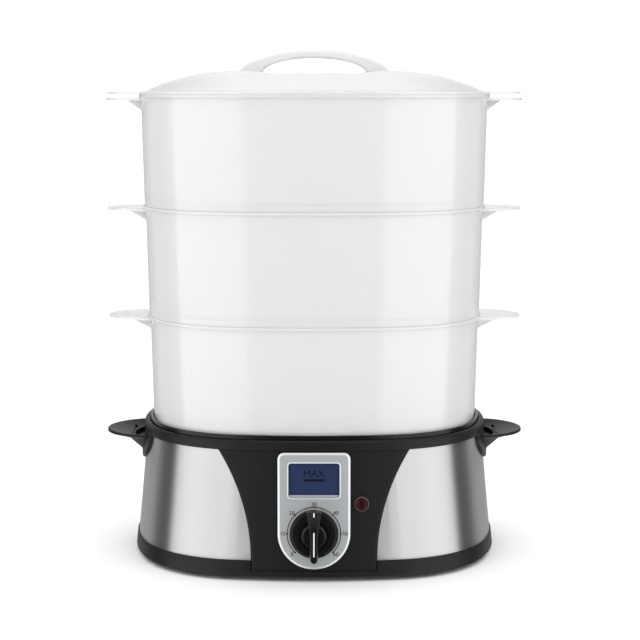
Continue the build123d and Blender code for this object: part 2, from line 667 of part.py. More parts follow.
def make_timer_knob():
    """Chamfered disc with a hub in a groove and a flared bar grip across it."""
    low = BEZEL_PROUD + KNOB_GAP
    disc = panel_rod(KNOB_R, low, low + KNOB_SKIRT_H)
    disc = chamfer(disc.edges().sort_by(Axis.Z)[-1], KNOB_EDGE)
    top = low + KNOB_SKIRT_H + CUT
    disc -= panel_rod(KNOB_HUB_R + KNOB_GROOVE, low + KNOB_WEB_T, top)
    hub = panel_rod(KNOB_HUB_R, low, low + KNOB_HUB_H)
    hub = fillet(hub.edges().sort_by(Axis.Z)[-1], KNOB_EDGE)
    foot = Pos(0, 0, low + KNOB_WEB_T) * grip_face(KNOB_LEAN, 0)
    crest = Pos(0, 0, low + KNOB_GRIP_H) * grip_face(0, KNOB_LEAN / 2)
    grip = loft([foot, crest], ruled=True)
    grip = chamfer(grip.edges().group_by(Axis.Z)[-1], KNOB_EDGE / 2)
    end = low + KNOB_HUB_H - KNOB_CAP_T
    bore = panel_rod(SHAFT_R + RUN_FIT, low - CUT, end)
    flat = slab(3 * SHAFT_R, SHAFT_R, low - CUT, end, SHAFT_R * 1.25 + RUN_FIT)
    return on_panel(disc + hub + grip - (bore - flat))


def make_timer_screws():
    screws = Part()
    head = BEZEL_PROUD - TIMER_HEAD_SUNK
    for x in (-TIMER_SCREW_X, TIMER_SCREW_X):
        screws += panel_rod(SCREW_R, -PAD_DEPTH - TIMER_SCREW_L, head, 0, x)
        screws += panel_rod(SCREW_HEAD_R, head, head + TIMER_HEAD_H, 0, x)
    return on_panel(screws)


# ---- heater ----
def make_heater_plate():
    """Pressed steel dish that stands up through the tank's floor, with a flange."""
    top = TANK_FLOOR + HEATER_RISE
    outline = Polyline(
        (0, top),
        (HEATER_R - 2, top),
        (HEATER_R, top - 2),
        (HEATER_R, FLANGE_TOP),
        (FLANGE_R, FLANGE_TOP),
        (FLANGE_R, CLAMP_TOP),
        (HEATER_R - SHEET_T, CLAMP_TOP),
        (HEATER_R - SHEET_T, DISH_UNDER - 1),
        (HEATER_R - SHEET_T - 1, DISH_UNDER),
        (0, DISH_UNDER),
        close=True,
    )
    return revolve(Plane.XZ * make_face(outline), Axis.Z)


def make_heater_gasket():
    return cylinder(FLANGE_R - 1, FLANGE_TOP, TANK_UNDER) - cylinder(
        HEATER_R + SLIP, FLANGE_TOP - 1, TANK_FLOOR
    )


def make_heating_element():
    """Tubular ring, open at the back, with two pins turned down to the wiring."""
    z = DISH_UNDER - ELEMENT_R
    gap = 24.0
    turn = 360 - 2 * gap
    circle = Pos(ELEMENT_RING_R, 0, 0) * (Plane.XZ * Circle(ELEMENT_R))
    tube = revolve(circle, Axis.Z, turn)
    tube = Pos(0, 0, z) * Rot(0, 0, 90 + gap) * tube
    for side in (-1, 1):
        angle = math.radians(90 + side * (gap + 2))
        x, y = ELEMENT_RING_R * math.cos(angle), ELEMENT_RING_R * math.sin(angle)
        tube += cylinder(1.8, z - PIN_DROP, z, x, y)
    return tube


def make_heater_clamp():
    """Strap that presses the dish's flange up against its gasket."""
    low = CLAMP_TOP - CLAMP_T
    strap = cuboid(-CLAMP_HALF, CLAMP_HALF, -CLAMP_W / 2, CLAMP_W / 2, low, CLAMP_TOP)
    strap += cylinder(THERMOSTAT_R + 5, low, CLAMP_TOP)
    strap -= cylinder(THERMOSTAT_R + 1.5, low - 1, CLAMP_TOP + 1)
    for x in (-CLAMP_SCREW_X, CLAMP_SCREW_X):
        strap -= cylinder(SCREW_R + SLIP, low - 1, CLAMP_TOP + 1, x, 0)
    return strap


def make_clamp_screws():
    screws = Part()
    low = CLAMP_TOP - CLAMP_T
    for x in (-CLAMP_SCREW_X, CLAMP_SCREW_X):
        screws += cylinder(SCREW_R, low, TANK_UNDER - CLAMP_SCREW_SHORT - SLIP, x, 0)
        screws += cylinder(SCREW_HEAD_R, low - SCREW_HEAD_H, low, x, 0)
    return screws


def make_thermostat():
    """Snap-disc cut-out pressed to the dish, with two tabs."""
    can = cylinder(THERMOSTAT_R, DISH_UNDER - 8, DISH_UNDER)
    for x in (-4, 4):
        can += cuboid(x - 0.4, x + 0.4, -3, 3, DISH_UNDER - 16, DISH_UNDER - 8)
    return can


def make_thermal_fuse():
    """One-shot fuse in a sleeve under the clamp strap."""
    low = CLAMP_TOP - CLAMP_T
    sleeve = Pos(26, 0, low - 2.6) * Rot(90, 0, 0) * Cylinder(2.4, 16)
    tab = cuboid(24.4, 27.6, -4, 4, low - 1.4, low)
    return sleeve + tab


def make_terminal_block():
    """Screw terminal block on the cover's floor, in line with the cord's bushing."""
    half = TERMINALS * TERMINAL_PITCH / 2
    back = body_at(BODY_FOOT)[1] - TERMINAL_IN
    front = back - TERMINAL_D
    top = COVER_FLOOR + TERMINAL_H
    middle = (front + back) / 2
    body = cuboid(-half, half, front, back, COVER_FLOOR, top)
    for place in range(TERMINALS):
        x = (place + 0.5) * TERMINAL_PITCH - half
        wire = Pos(x, middle, COVER_FLOOR + TERMINAL_H * 0.35) * Rot(90, 0, 0)
        body -= cylinder(TERMINAL_SCREW_R, COVER_FLOOR + TERMINAL_H * 0.45, top + CUT, x, middle)
        body -= wire * Cylinder(TERMINAL_WIRE_R, TERMINAL_D + 2 * CUT)
    return body


def make_cord_gland():
    """Bushing with a square neck in the seam between the skirt and the wall, and two flanges."""
    face = body_at(BODY_FOOT)[1]
    neck = GLAND_NECK
    wall_back = face + SKIRT_TOP_OUT - SKIRT_WALL - SLIP

    def rod(r, y0, y1):
        return Pos(0, (y0 + y1) / 2, BODY_FOOT) * Rot(90, 0, 0) * Cylinder(r, y1 - y0)

    outer_flange = rod(GLAND_FLANGE_R, face - FLARE_D / 2, face + GLAND_FLANGE_OUT)
    outer_flange -= body_block(BODY_FOOT, BODY_TOP, 0)
    outer_flange -= block(
        (BODY_FOOT - SKIRT_WALL * 2, *skirt_at(BODY_FOOT - SKIRT_WALL * 2), 0),
        (BODY_FOOT, *skirt_at(BODY_FOOT), 0),
    )
    gland = rod(GLAND_R, wall_back - GLAND_FLANGE_T - GLAND_IN, face + GLAND_OUT)
    gland += cuboid(-neck, neck, wall_back, face, BODY_FOOT - neck, BODY_FOOT + neck)
    gland += outer_flange + rod(GLAND_FLANGE_R, wall_back - GLAND_FLANGE_T, wall_back)
    return gland - rod(GLAND_BORE_R, wall_back - 4 * GLAND_FLANGE_T, face + 2 * GLAND_OUT)


def make_base_screws():
    screws = Part()
    for x, y in boss_places():
        screws += cylinder(SCREW_R, FEET_H + SCREW_SUNK, FEET_H + BOSS_SCREW_L, x, y)
        screws += cylinder(SCREW_HEAD_R, FEET_H + SCREW_SUNK - SCREW_HEAD_H, FEET_H + SCREW_SUNK, x, y)
    return screws


# ---- collar with carrying handles ----
def make_collar():
    low = BODY_TOP
    w, d = BOWL_HALF_W, BOWL_HALF_D
    outer = block(
        (low, w, d, COLLAR_OUT),
        (COLLAR_TOP - COLLAR_ROUND, w, d, COLLAR_OUT),
        (COLLAR_TOP - COLLAR_ROUND * 0.3, w, d, COLLAR_OUT - COLLAR_ROUND * 0.3),
        (COLLAR_TOP, w, d, COLLAR_OUT - COLLAR_ROUND),
    )
    collar = outer
    for side in (-1, 1):
        collar += handle_shell(side)
    collar -= extrude(Pos(0, 0, COLLAR_LEDGE) * oval(w, d, COLLAR_WELL), COLLAR_TOP)
    collar -= extrude(Pos(0, 0, low - CUT) * oval(w, d, COLLAR_BORE), COLLAR_TOP)
    return collar


def half_ellipse(reach, half_d, z):
    """Plan ellipse of a handle, centred near the steel's top edge."""
    root = BODY_HALF_W - HANDLE_ROOT
    return Pos(root, 0, z) * Ellipse(reach - root, half_d)


def handle_bracket():
    """Web that narrows down from the dish to a pad on the steel."""
    foot_x = body_at(BRACKET_LOW)[0] + SHIELD_T + BRACKET_PROUD
    web = loft(
        [
            half_ellipse(HANDLE_REACH - BRACKET_IN, BRACKET_HALF_D, HANDLE_TOP - HANDLE_LIP_H),
            half_ellipse(foot_x, BRACKET_KNEE_HALF_D, BRACKET_KNEE),
            half_ellipse(foot_x, BRACKET_LOW_HALF_D, BRACKET_LOW),
        ],
        ruled=True,
    )
    pad = Pos(0, 0, BODY_TOP) * Plane.YZ.location * Ellipse(SHIELD_HALF_D, BODY_TOP - SHIELD_LOW)
    pad = extrude(pad, HANDLE_REACH) & body_block(BRACKET_LOW - CUT, BODY_TOP, SHIELD_T)
    return web + pad


def handle_shell(side):
    """Leaf-shaped dish with a deeper pocket beside the collar, on a bracket that hugs the steel."""
    t = HANDLE_WALL
    lip_low = HANDLE_TOP - HANDLE_LIP_H
    floor = HANDLE_TOP - DISH_DEEP
    reach, half_d = HANDLE_REACH, HANDLE_HALF_D
    dish = extrude(half_ellipse(reach, half_d, lip_low), HANDLE_LIP_H)
    under = half_ellipse(reach - DISH_DRAW_W, half_d - DISH_DRAW_D, floor - t)
    dish += loft([half_ellipse(reach - t / 2, half_d - t / 2, lip_low), under], ruled=True)
    mouth = half_ellipse(reach - t, half_d - t, HANDLE_TOP + SLIP)
    bottom = half_ellipse(reach - t - DISH_DRAW_W, half_d - t - DISH_DRAW_D, floor)
    scoop = loft([mouth, bottom], ruled=True)
    well_low = HANDLE_TOP - WELL_DEEP
    scoop += extrude(half_ellipse(reach - WELL_IN, WELL_HALF_D, well_low), WELL_DEEP)
    saddle = Pos(0, 0, well_low - t) * oval(BOWL_HALF_W, BOWL_HALF_D, COLLAR_OUT + SADDLE)
    saddle = extrude(saddle, COLLAR_TOP - COLLAR_ROUND * 2 - well_low + t)
    saddle &= extrude(half_ellipse(reach, half_d, well_low - t), 2 * WELL_DEEP)
    ear = dish + handle_bracket() - scoop + saddle
    ear -= body_block(BRACKET_LOW - 2 * CUT, BODY_TOP, SLIP)
    ear -= extrude(oval(BOWL_HALF_W, BOWL_HALF_D, COLLAR_WELL), COLLAR_TOP + CUT)
    return ear if side > 0 else mirror(ear, Plane.YZ)


# ---- lift-out inner pieces ----
def make_steam_ring():
    """Open collar that stands round the heater, with water slots in its foot."""
    low, high = TANK_FLOOR, TANK_FLOOR + RING_H
    slope = Pos(0, 0, (low + high) / 2)
    ring_body = slope * Cone(RING_R, RING_R - RING_DRAW_IN, RING_H)
    ring_body -= slope * Cone(RING_R - TRAY_T, RING_R - RING_DRAW_IN - TRAY_T, RING_H)
    ring_body += cylinder(RING_R + 3, low, low + 2) - cylinder(RING_R - 1, low - 1, low + 3)
    for angle in range(0, 360, 60):
        slot = cuboid(RING_R - 9, RING_R + 9, -5, 5, low - 1, low + 7)
        ring_body -= Rot(0, 0, angle) * slot
    return ring_body


def make_drip_tray():
    """Juice tray: flange on the collar's ledge, well, and a steam chimney."""
    w, d = BOWL_HALF_W, BOWL_HALF_D
    flange = extrude(Pos(0, 0, COLLAR_LEDGE) * oval(w, d, TRAY_LIP), TRAY_LIP_TOP - COLLAR_LEDGE)
    well = block(
        (TRAY_FLOOR - TRAY_T, w, d, TRAY_WELL + TRAY_T - TRAY_LEAN),
        (COLLAR_LEDGE, w, d, TRAY_WELL + TRAY_T),
    )
    hollow = block(
        (TRAY_FLOOR, w, d, TRAY_WELL - TRAY_LEAN),
        (COLLAR_LEDGE, w, d, TRAY_WELL),
        (SEAT + 1, w, d, TRAY_WELL),
    )
    seat = extrude(Pos(0, 0, SEAT) * oval(w, d, NEST_GAP), 20)
    tray = flange + well - hollow - seat
    tray += cylinder(CHIMNEY_R, TRAY_FLOOR - TRAY_T, CHIMNEY_TOP)
    tray -= cylinder(CHIMNEY_R - TRAY_T, TRAY_FLOOR - TRAY_T - 1, CHIMNEY_TOP - TRAY_T)
    for angle in range(0, 360, 45):
        slot = cuboid(9, CHIMNEY_R - 6, -3, 3, CHIMNEY_TOP - 5, CHIMNEY_TOP + 1)
        tray -= Rot(0, 0, angle) * slot
    return tray


# ---- bowls and lid ----
def ear_plate(reach, half_w, z_top, side):
    """Thin grip ledge that reaches out from a rim."""
    root = half_w - EAR_ROOT
    plate = Pos(root, 0, z_top - EAR_T) * extrude(Ellipse(reach - root, EAR_HALF_D), EAR_T)
    plate = chamfer(plate.edges().group_by(Axis.Z)[0], EAR_EDGE)
    return plate if side > 0 else mirror(plate, Plane.YZ)


def ear_web(half_w, z_top, y, side):
    """Triangular rib under an ear."""
    root = half_w - BOWL_WALL
    shape = Polyline((root, z_top), (WEB_REACH, z_top), (root, z_top - WEB_H), close=True)
    web = Pos(0, y + WEB_T / 2, 0) * extrude(Plane.XZ * make_face(shape), WEB_T)
    return web if side > 0 else mirror(web, Plane.YZ)


def bowl_size(index):
    """Half width, half depth and bottom height of a bowl, lowest first."""
    w = BOWL_HALF_W + BOWL_STEP * index
    return w, w - PLAN_GAP, SEAT + PITCH * index


def floor_slots(w, d, z_low, z_high):
    """Staggered rows of steam slots, kept inside the floor's edge."""
    slots = []
    rows = int(d // SLOT_PITCH_Y)
    columns = int(w // SLOT_PITCH_X) + 1
    for row in range(-rows, rows + 1):
        y = row * SLOT_PITCH_Y
        shift = SLOT_PITCH_X / 2 if row % 2 else 0.0
        for column in range(-columns, columns + 1):
            x = column * SLOT_PITCH_X + shift
            reach_x = (abs(x) + SLOT_L / 2) / (w - SLOT_MARGIN)
            reach_y = (abs(y) + SLOT_W / 2) / (d - SLOT_MARGIN)
            if reach_x**2.2 + reach_y**2.2 < 1:
                middle = Pos(x, y, (z_low + z_high) / 2)
                slots.append(middle * Box(SLOT_L, SLOT_W, z_high - z_low))
    return slots


def make_bowl(index):
    """Drafted oval bowl: stepped foot, slotted floor, beaded rim and two ears."""
    w, d, low = bowl_size(index)
    top = low + PITCH
    floor = low + FLOOR_RISE
    foot = -(BOWL_STEP - BOWL_DRAFT + BOWL_WALL + NEST_GAP)
    at_floor = BOWL_DRAFT * FLOOR_RISE / PITCH
    outer = block((low, w, d, 0), (top, w, d, BOWL_DRAFT))
    outer += extrude(Pos(0, 0, top - RIM_H) * oval(w, d, BOWL_DRAFT + RIM_BEAD), RIM_H)
    for side in (-1, 1):
        outer += ear_plate(EAR_REACH, w, top - EAR_DROP, side)
        for y in (-WEB_PITCH, 0, WEB_PITCH):
            outer += ear_web(w + BOWL_DRAFT, top - EAR_DROP - EAR_T / 2, y, side)
    inside = block(
        (floor + FLOOR_T, w, d, at_floor - BOWL_WALL), (top + 1, w, d, BOWL_DRAFT - BOWL_WALL)
    )
    under = extrude(Pos(0, 0, low - 1) * oval(w, d, -BOWL_WALL), FLOOR_RISE + 1)
    bowl = outer - inside - under
    bowl += ring(low - FOOT_DROP, floor + 0.5, w, d, foot, foot - FLOOR_T)
    return bowl - floor_slots(w, d, floor - 1, floor + FLOOR_T + 1)


def dome_levels(rim, drop, grow):
    """Lid's outer shape: (height, half width, half depth) from flange to crown."""
    w, d, _ = bowl_size(BOWL_COUNT - 1)
    low = rim + LID_FLANGE_T - drop
    rise = LID_TOP - LID_FLANGE_T
    levels = []
    for way in (0, 0.13, 0.26, 0.46, 0.7, 1):
        inset = DOME_EDGE + (DOME_FLAT - DOME_EDGE) * way
        levels.append((low + rise * math.sin(math.pi / 2 * way**0.85), w, d, grow - inset))
    return levels


def arch_profile(half, rise, z):
    """Half ellipse in the XZ plane."""
    arc = EllipticalCenterArc((0, z), half, rise, 0, arc_size=180)
    return make_face([arc.edge(), Line((-half, z), (half, z)).edge()])


def make_lid():
    """Domed lid: flange, ears, locating skirt, crown with a finger dip and an arch grip."""
    w, d, foot = bowl_size(BOWL_COUNT - 1)
    rim = foot + PITCH
    flange_grow = BOWL_DRAFT + RIM_BEAD
    lid = extrude(Pos(0, 0, rim) * oval(w, d, flange_grow), LID_FLANGE_T)
    lid += block(*dome_levels(rim, 0, 0))
    for side in (-1, 1):
        lid += ear_plate(LID_EAR_REACH, w, rim + LID_FLANGE_T + LID_EAR_UP, side)
    crown = rim + LID_TOP
    sphere_r = (DIP_HALF**2 + DIP_DEPTH**2) / (2 * DIP_DEPTH)
    dip = Pos(0, 0, crown - DIP_DEPTH + sphere_r) * Sphere(sphere_r)
    under_dip = Pos(0, 0, crown - DIP_DEPTH + sphere_r) * Sphere(sphere_r + BOWL_WALL)
    reach = DIP_HALF * 1.1
    low = rim + LID_FLANGE_T
    dip &= cuboid(-reach, reach, -reach, reach, low, crown + CUT)
    under_dip &= cuboid(-reach, reach, -reach, reach, low, crown + CUT)
    skirt = BOWL_DRAFT - BOWL_WALL - NEST_GAP
    hollow = block(*dome_levels(rim, BOWL_WALL, -BOWL_WALL)) - under_dip
    hollow += extrude(Pos(0, 0, rim - 1) * oval(w, d, skirt - FLOOR_T), LID_FLANGE_T + 1)
    lid = lid - dip - hollow
    lid += ring(rim - FOOT_DROP, rim + 0.5, w, d, skirt, skirt - FLOOR_T)
    arch_z = crown - ARCH_SUNK
    arch = arch_profile(ARCH_HALF, rim + HANDLE_ARCH_TOP - arch_z, arch_z)
    gap = arch_profile(ARCH_OPEN_HALF, ARCH_OPEN_H, arch_z)
    grip = Pos(0, ARCH_W / 2, 0) * extrude(Plane.XZ * (arch - gap), ARCH_W)
    grip = fillet(grip.edges().filter_by(GeomType.ELLIPSE), ARCH_ROUND)
    lid += grip
    vent_x = TOP_BOWL_HALF_W - VENT_IN
    for x in (-vent_x, vent_x):
        lid -= cylinder(VENT_R, low, crown, x, 0)
    return lid


# ---- all nodes ----
def all_parts():
    parts = {
        "bottom_cover": make_bottom_cover(),
        "base_housing": make_base_housing(),
        "water_tank": make_water_tank(),
        "collar": make_collar(),
        "steel_wrap": make_steel_wrap(),
        "front_fascia": make_front_fascia(),
        "control_bezel": make_control_bezel(),
        "level_window": make_level_window(),
        "window_gasket": make_window_gasket(),
        "indicator_lens": make_indicator_lens(),
        "lamp_ring": make_lamp_ring(),
        "neon_lamp": make_neon_lamp(),
        "timer_knob": make_timer_knob(),
        "timer_shaft": make_timer_shaft(),
        "timer_case": make_timer_case(),
        "timer_bell": make_timer_bell(),
        "timer_screws": make_timer_screws(),
        "heater_plate": make_heater_plate(),
        "heater_gasket": make_heater_gasket(),
        "heating_element": make_heating_element(),
        "heater_clamp": make_heater_clamp(),
        "clamp_screws": make_clamp_screws(),
        "thermostat": make_thermostat(),
        "thermal_fuse": make_thermal_fuse(),
        "terminal_block": make_terminal_block(),
        "cord_gland": make_cord_gland(),
        "base_screws": make_base_screws(),
        "steam_ring": make_steam_ring(),
        "drip_tray": make_drip_tray(),
        "lid": make_lid(),
    }
    for index in range(BOWL_COUNT):
        parts[f"bowl_{index + 1}"] = make_bowl(index)
    for name, (x, y) in foot_places().items():
        parts[name] = make_foot(x, y)
    return parts


os.makedirs("parts", exist_ok=True)
for name, part in all_parts().items():
    export_step(Pos(0, CENTRE_Y, 0) * part, f"parts/{name}.step")
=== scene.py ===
"""Three-tier electric food steamer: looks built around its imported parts.

Metres, +Z up, front faces -Y.
"""

import json
import math

import bmesh
import bpy
from bpy.props import FloatProperty, FloatVectorProperty, PointerProperty
from mathutils import Matrix, Vector


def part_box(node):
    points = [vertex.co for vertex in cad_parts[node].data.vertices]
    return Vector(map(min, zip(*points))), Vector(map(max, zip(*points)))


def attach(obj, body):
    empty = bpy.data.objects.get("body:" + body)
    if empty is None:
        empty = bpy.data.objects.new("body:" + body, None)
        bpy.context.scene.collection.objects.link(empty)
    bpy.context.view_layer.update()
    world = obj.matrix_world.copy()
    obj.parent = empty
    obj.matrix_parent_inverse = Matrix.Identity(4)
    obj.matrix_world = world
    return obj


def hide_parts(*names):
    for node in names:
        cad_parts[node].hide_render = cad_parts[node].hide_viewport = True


bl_info = {
    "name": "Electric food steamer",
    "version": (1, 0, 0),
    "blender": (4, 5, 0),
    "location": "View3D > Sidebar > Steamer",
    "description": "Builds the visible pieces, finishes and stage of a three-tier food steamer",
    "category": "Object",
}

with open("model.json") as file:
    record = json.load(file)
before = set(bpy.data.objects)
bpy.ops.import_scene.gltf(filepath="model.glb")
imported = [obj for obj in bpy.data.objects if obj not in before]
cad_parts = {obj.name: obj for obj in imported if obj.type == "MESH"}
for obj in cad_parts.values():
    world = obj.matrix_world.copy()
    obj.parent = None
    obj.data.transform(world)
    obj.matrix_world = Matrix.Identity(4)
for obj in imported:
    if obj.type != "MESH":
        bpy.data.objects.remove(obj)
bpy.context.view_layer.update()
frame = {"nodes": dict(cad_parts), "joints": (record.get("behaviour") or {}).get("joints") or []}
MM = 0.001

# ---- places that come from the frame ----
BOWL_NAMES = ["bowl_1", "bowl_2", "bowl_3"]
PLAN_Y = sum(corner.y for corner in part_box("bowl_3")) / 2  # middle of every oval
DIAL = next(joint for joint in frame["joints"] if joint["name"] == "timer_turn")
PANEL_OUT = Vector(DIAL["axis"])
PANEL_UP = PANEL_OUT.cross(Vector((1, 0, 0)))
# carries a flat drawing about the dial's centre onto the leaning front
PANEL = Matrix.Translation(Vector(DIAL["pos_m"])) @ Matrix(
    [(1, PANEL_UP[0], PANEL_OUT[0]), (0, PANEL_UP[1], PANEL_OUT[1]), (0, PANEL_UP[2], PANEL_OUT[2])]
).to_4x4()
BODY_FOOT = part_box("steel_wrap")[0].z
BODY_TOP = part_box("front_fascia")[1].z
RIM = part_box("bowl_3")[1].z

# ---- plan curve: eight arcs that touch smoothly ----
FRONT_BOW = 3.4  # radius of the front and back arcs over the half depth
SIDE_BOW = 1.15  # radius of the side arcs over the half width
CORNER_BOW = 0.76  # radius of the corner arcs over the half depth
PLAN_GAP = 24.5 * MM  # half width less half depth of a bowl
OVAL_STEPS = 256
SHARP = math.radians(32)  # edges that turn more than this are shaded sharp

# ---- steps and small margins ----
DOME_STEPS = 20
CROWN_RINGS = 12
ARCH_STEPS = 48
DOME_EASE = 0.85  # below 1 the dome rises faster from the flange
ARCH_EASE = 1.3  # above 1 the grip's ends sweep in more softly
RAMP_EASE = 1.4  # above 1 the knob's crest falls late, near the pointer
FLARE_EASE = 1.5  # above 1 the knob's crest widens late
SLOT_FIELD = 2.2  # squareness of the oval field that the steam slots fill
CUT = 1 * MM  # how far a cutting tool reaches past what it cuts
PANEL_CUT = (-3 * MM, 5 * MM)  # heights that a cutting tool spans on the panel
PRINT = 0.05 * MM  # thickness of printed marks
PRINT_LIFT = 0.03 * MM  # middle of printed lettering above its surface


def rgb(code):
    """Linear colour of an sRGB hex code."""
    channels = [int(code[i : i + 2], 16) / 255 for i in (1, 3, 5)]
    return [c / 12.92 if c <= 0.04045 else ((c + 0.055) / 1.055) ** 2.4 for c in channels]


def length(name, description, default):
    """Setting for a size in metres."""
    return FloatProperty(
        name=name, description=description, default=default, min=0.0, unit="LENGTH", precision=5
    )


def colour(name, description, code):
    """Setting for a colour, given as an sRGB hex code."""
    return FloatVectorProperty(
        name=name, description=description, default=rgb(code), min=0.0, max=1.0, subtype="COLOR"
    )


def angle(name, description, degrees):
    """Setting for an angle, given in degrees."""
    return FloatProperty(
        name=name, description=description, default=math.radians(degrees), subtype="ANGLE"
    )


def amount(name, description, default):
    """Setting for a plain number."""
    return FloatProperty(name=name, description=description, default=default, min=0.0)


# ---- settings ----
class BowlSettings(bpy.types.PropertyGroup):
    """Sizes of the three steaming bowls."""

    wall: length("Wall", "Thickness of a bowl's wall", 2.2 * MM)
    draft: length("Draft", "How far a bowl widens to its rim", 1.9 * MM)
    bead: length("Rim bead", "How far the rim stands out", 1.8 * MM)
    bead_height: length("Rim height", "Height of the rim bead", 2.4 * MM)
    foot_drop: length("Foot drop", "How far the foot reaches into the bowl below", 5 * MM)
    foot_in: length("Foot inset", "Foot's outer face in from the wall's outer face", 3.9 * MM)
    floor_rise: length("Floor rise", "Underside of the floor above the wall's edge", 5 * MM)
    floor_thick: length("Floor", "Thickness of the slotted floor", 2 * MM)
    edge: length("Edge radius", "Rounding of the moulded edges", 0.5 * MM)
    ear_half_depth: length("Ear half depth", "Half length of an ear along the wall", 33 * MM)
    ear_thick: length("Ear thickness", "Thickness of an ear", 2.2 * MM)
    ear_drop: length("Ear drop", "Ear's top face below the rim", 2.4 * MM)
    ear_root: length("Ear root", "Centre of an ear's ellipse in from the wall", 12 * MM)
    ear_edge: length("Ear edge", "Rounding of an ear's upper rim", 0.5 * MM)
    ear_edge_low: length("Ear lower edge", "Rounding of an ear's lower rim", 0.7 * MM)
    web_reach: length("Rib reach", "Rib's tip out from the wall's foot", 12.2 * MM)
    web_height: length("Rib height", "Height of a rib at the wall", 8.5 * MM)
    web_pitch: length("Rib pitch", "Distance between the ribs under an ear", 16 * MM)
    web_sink: length("Rib sink", "How far a rib reaches up into its ear", 0.5 * MM)
    slot_long: length("Slot length", "Length of a steam slot", 26 * MM)
    slot_wide: length("Slot width", "Width of a steam slot", 3.4 * MM)
    slot_round: length("Slot rounding", "Rounding of a steam slot's corners", 1.2 * MM)
    slot_margin: length("Slot margin", "Edge of the floor that has no slots", 12 * MM)
    slot_pitch_x: length("Slot pitch across", "Distance between slots in a row", 38 * MM)
    slot_pitch_y: length("Slot pitch deep", "Distance between rows", 20 * MM)


class LidSettings(bpy.types.PropertyGroup):
    """Sizes of the lid."""

    crown: length("Crown", "Crown above the top bowl's rim", 19.1 * MM)
    flange: length("Flange", "Thickness of the flange", 2.2 * MM)
    fit: length("Fit", "Gap round the skirt, and dome's foot in from the wall", 0.8 * MM)
    ear_more: length("Ear reach", "Ears' tips beyond those of the packed lid", 2.6 * MM)
    ear_rise: length("Ear rise", "Ears' top face above the flange", 0.6 * MM)
    flat: length("Flat inset", "Edge of the flat crown in from the wall", 72 * MM)
    arch_top: length("Arch top", "Top of the grip above the rim", 36.5 * MM)
    arch_half: length("Arch half span", "Half length of the grip", 62 * MM)
    open_half: length("Opening half span", "Half length of the finger opening", 42 * MM)
    open_height: length("Opening height", "Height of the finger opening", 12 * MM)
    arch_wide: length("Arch width", "Depth of the grip from front to back", 22 * MM)
    arch_round: length("Arch rounding", "Rounding of the grip's long edges", 3 * MM)
    arch_sink: length("Arch sink", "Grip's ends below the flat crown", 1.7 * MM)
    dip_depth: length("Channel depth", "Depth of the finger channel", 2.6 * MM)
    dip_half: length("Channel half width", "Half width of the channel's level floor", 34.44 * MM)
    dip_fade: length("Channel side", "Width of the slope at each side", 15.12 * MM)
    vent: length("Vent radius", "Radius of a steam vent", 2.2 * MM)
    vent_out: length("Vent place", "Distance of a vent from the middle", 78 * MM)


class BaseSettings(bpy.types.PropertyGroup):
    """Sizes of the powered base."""

    flare_wide: length("Flare across", "Extra half width at the steel's lower edge", 8 * MM)
    flare_deep: length("Flare deep", "Extra half depth at the steel's lower edge", 4 * MM)
    body_out_wide: length("Body out across", "Steel's top edge beyond the lowest bowl", 5.2 * MM)
    body_out_deep: length("Body out deep", "Steel's top edge beyond the lowest bowl", 6.5 * MM)
    steel: length("Sheet", "Thickness of the steel", 0.6 * MM)
    slip: length("Gap", "Gap between the fascia and the steel", 0.2 * MM)
    fascia_foot: length("Fascia foot", "Height of the fascia's lower edge", 6.8 * MM)
    fascia_low: length("Fascia foot half width", "Half width at the steel's lower edge", 49 * MM)
    fascia_top: length("Fascia top half width", "Half width below the collar", 74.2 * MM)
    fascia_thick: length("Fascia thickness", "Thickness of the fascia", 3.3 * MM)
    fascia_round: length("Fascia rounding", "Rounding of the fascia's outer rim", 0.5 * MM)
    fascia_kick: length("Fascia kick", "How far its foot reaches out over the skirt", 1.8 * MM)
    collar_out: length("Collar out", "Collar's face beyond the lowest bowl's foot", 7.4 * MM)
    collar_round: length("Collar rounding", "Rounding of the collar's upper edge", 2.6 * MM)
    collar_mouth: length("Collar mouth", "Collar's mouth beyond the lowest bowl's foot", 3.2 * MM)
    mouth_round: length("Mouth rounding", "Rounding of the mouth's edge", 0.5 * MM)
    skirt_round: length("Lower rounding", "Rounding of the collar's lower edge", 0.3 * MM)
    tray_round: length("Tray rounding", "Rounding of the drip tray's edges", 0.5 * MM)
    cover_round: length("Cover rounding", "Rounding of the bottom cover's edges", 0.6 * MM)
    tank_round: length("Tank rounding", "Rounding of the water tank's edges", 0.4 * MM)
    collar_bore: length("Collar bore", "Collar's lower mouth inside the bowl's foot", 1.6 * MM)
    collar_ledge: length("Collar ledge", "Ledge above the steel's top edge", 3.4 * MM)


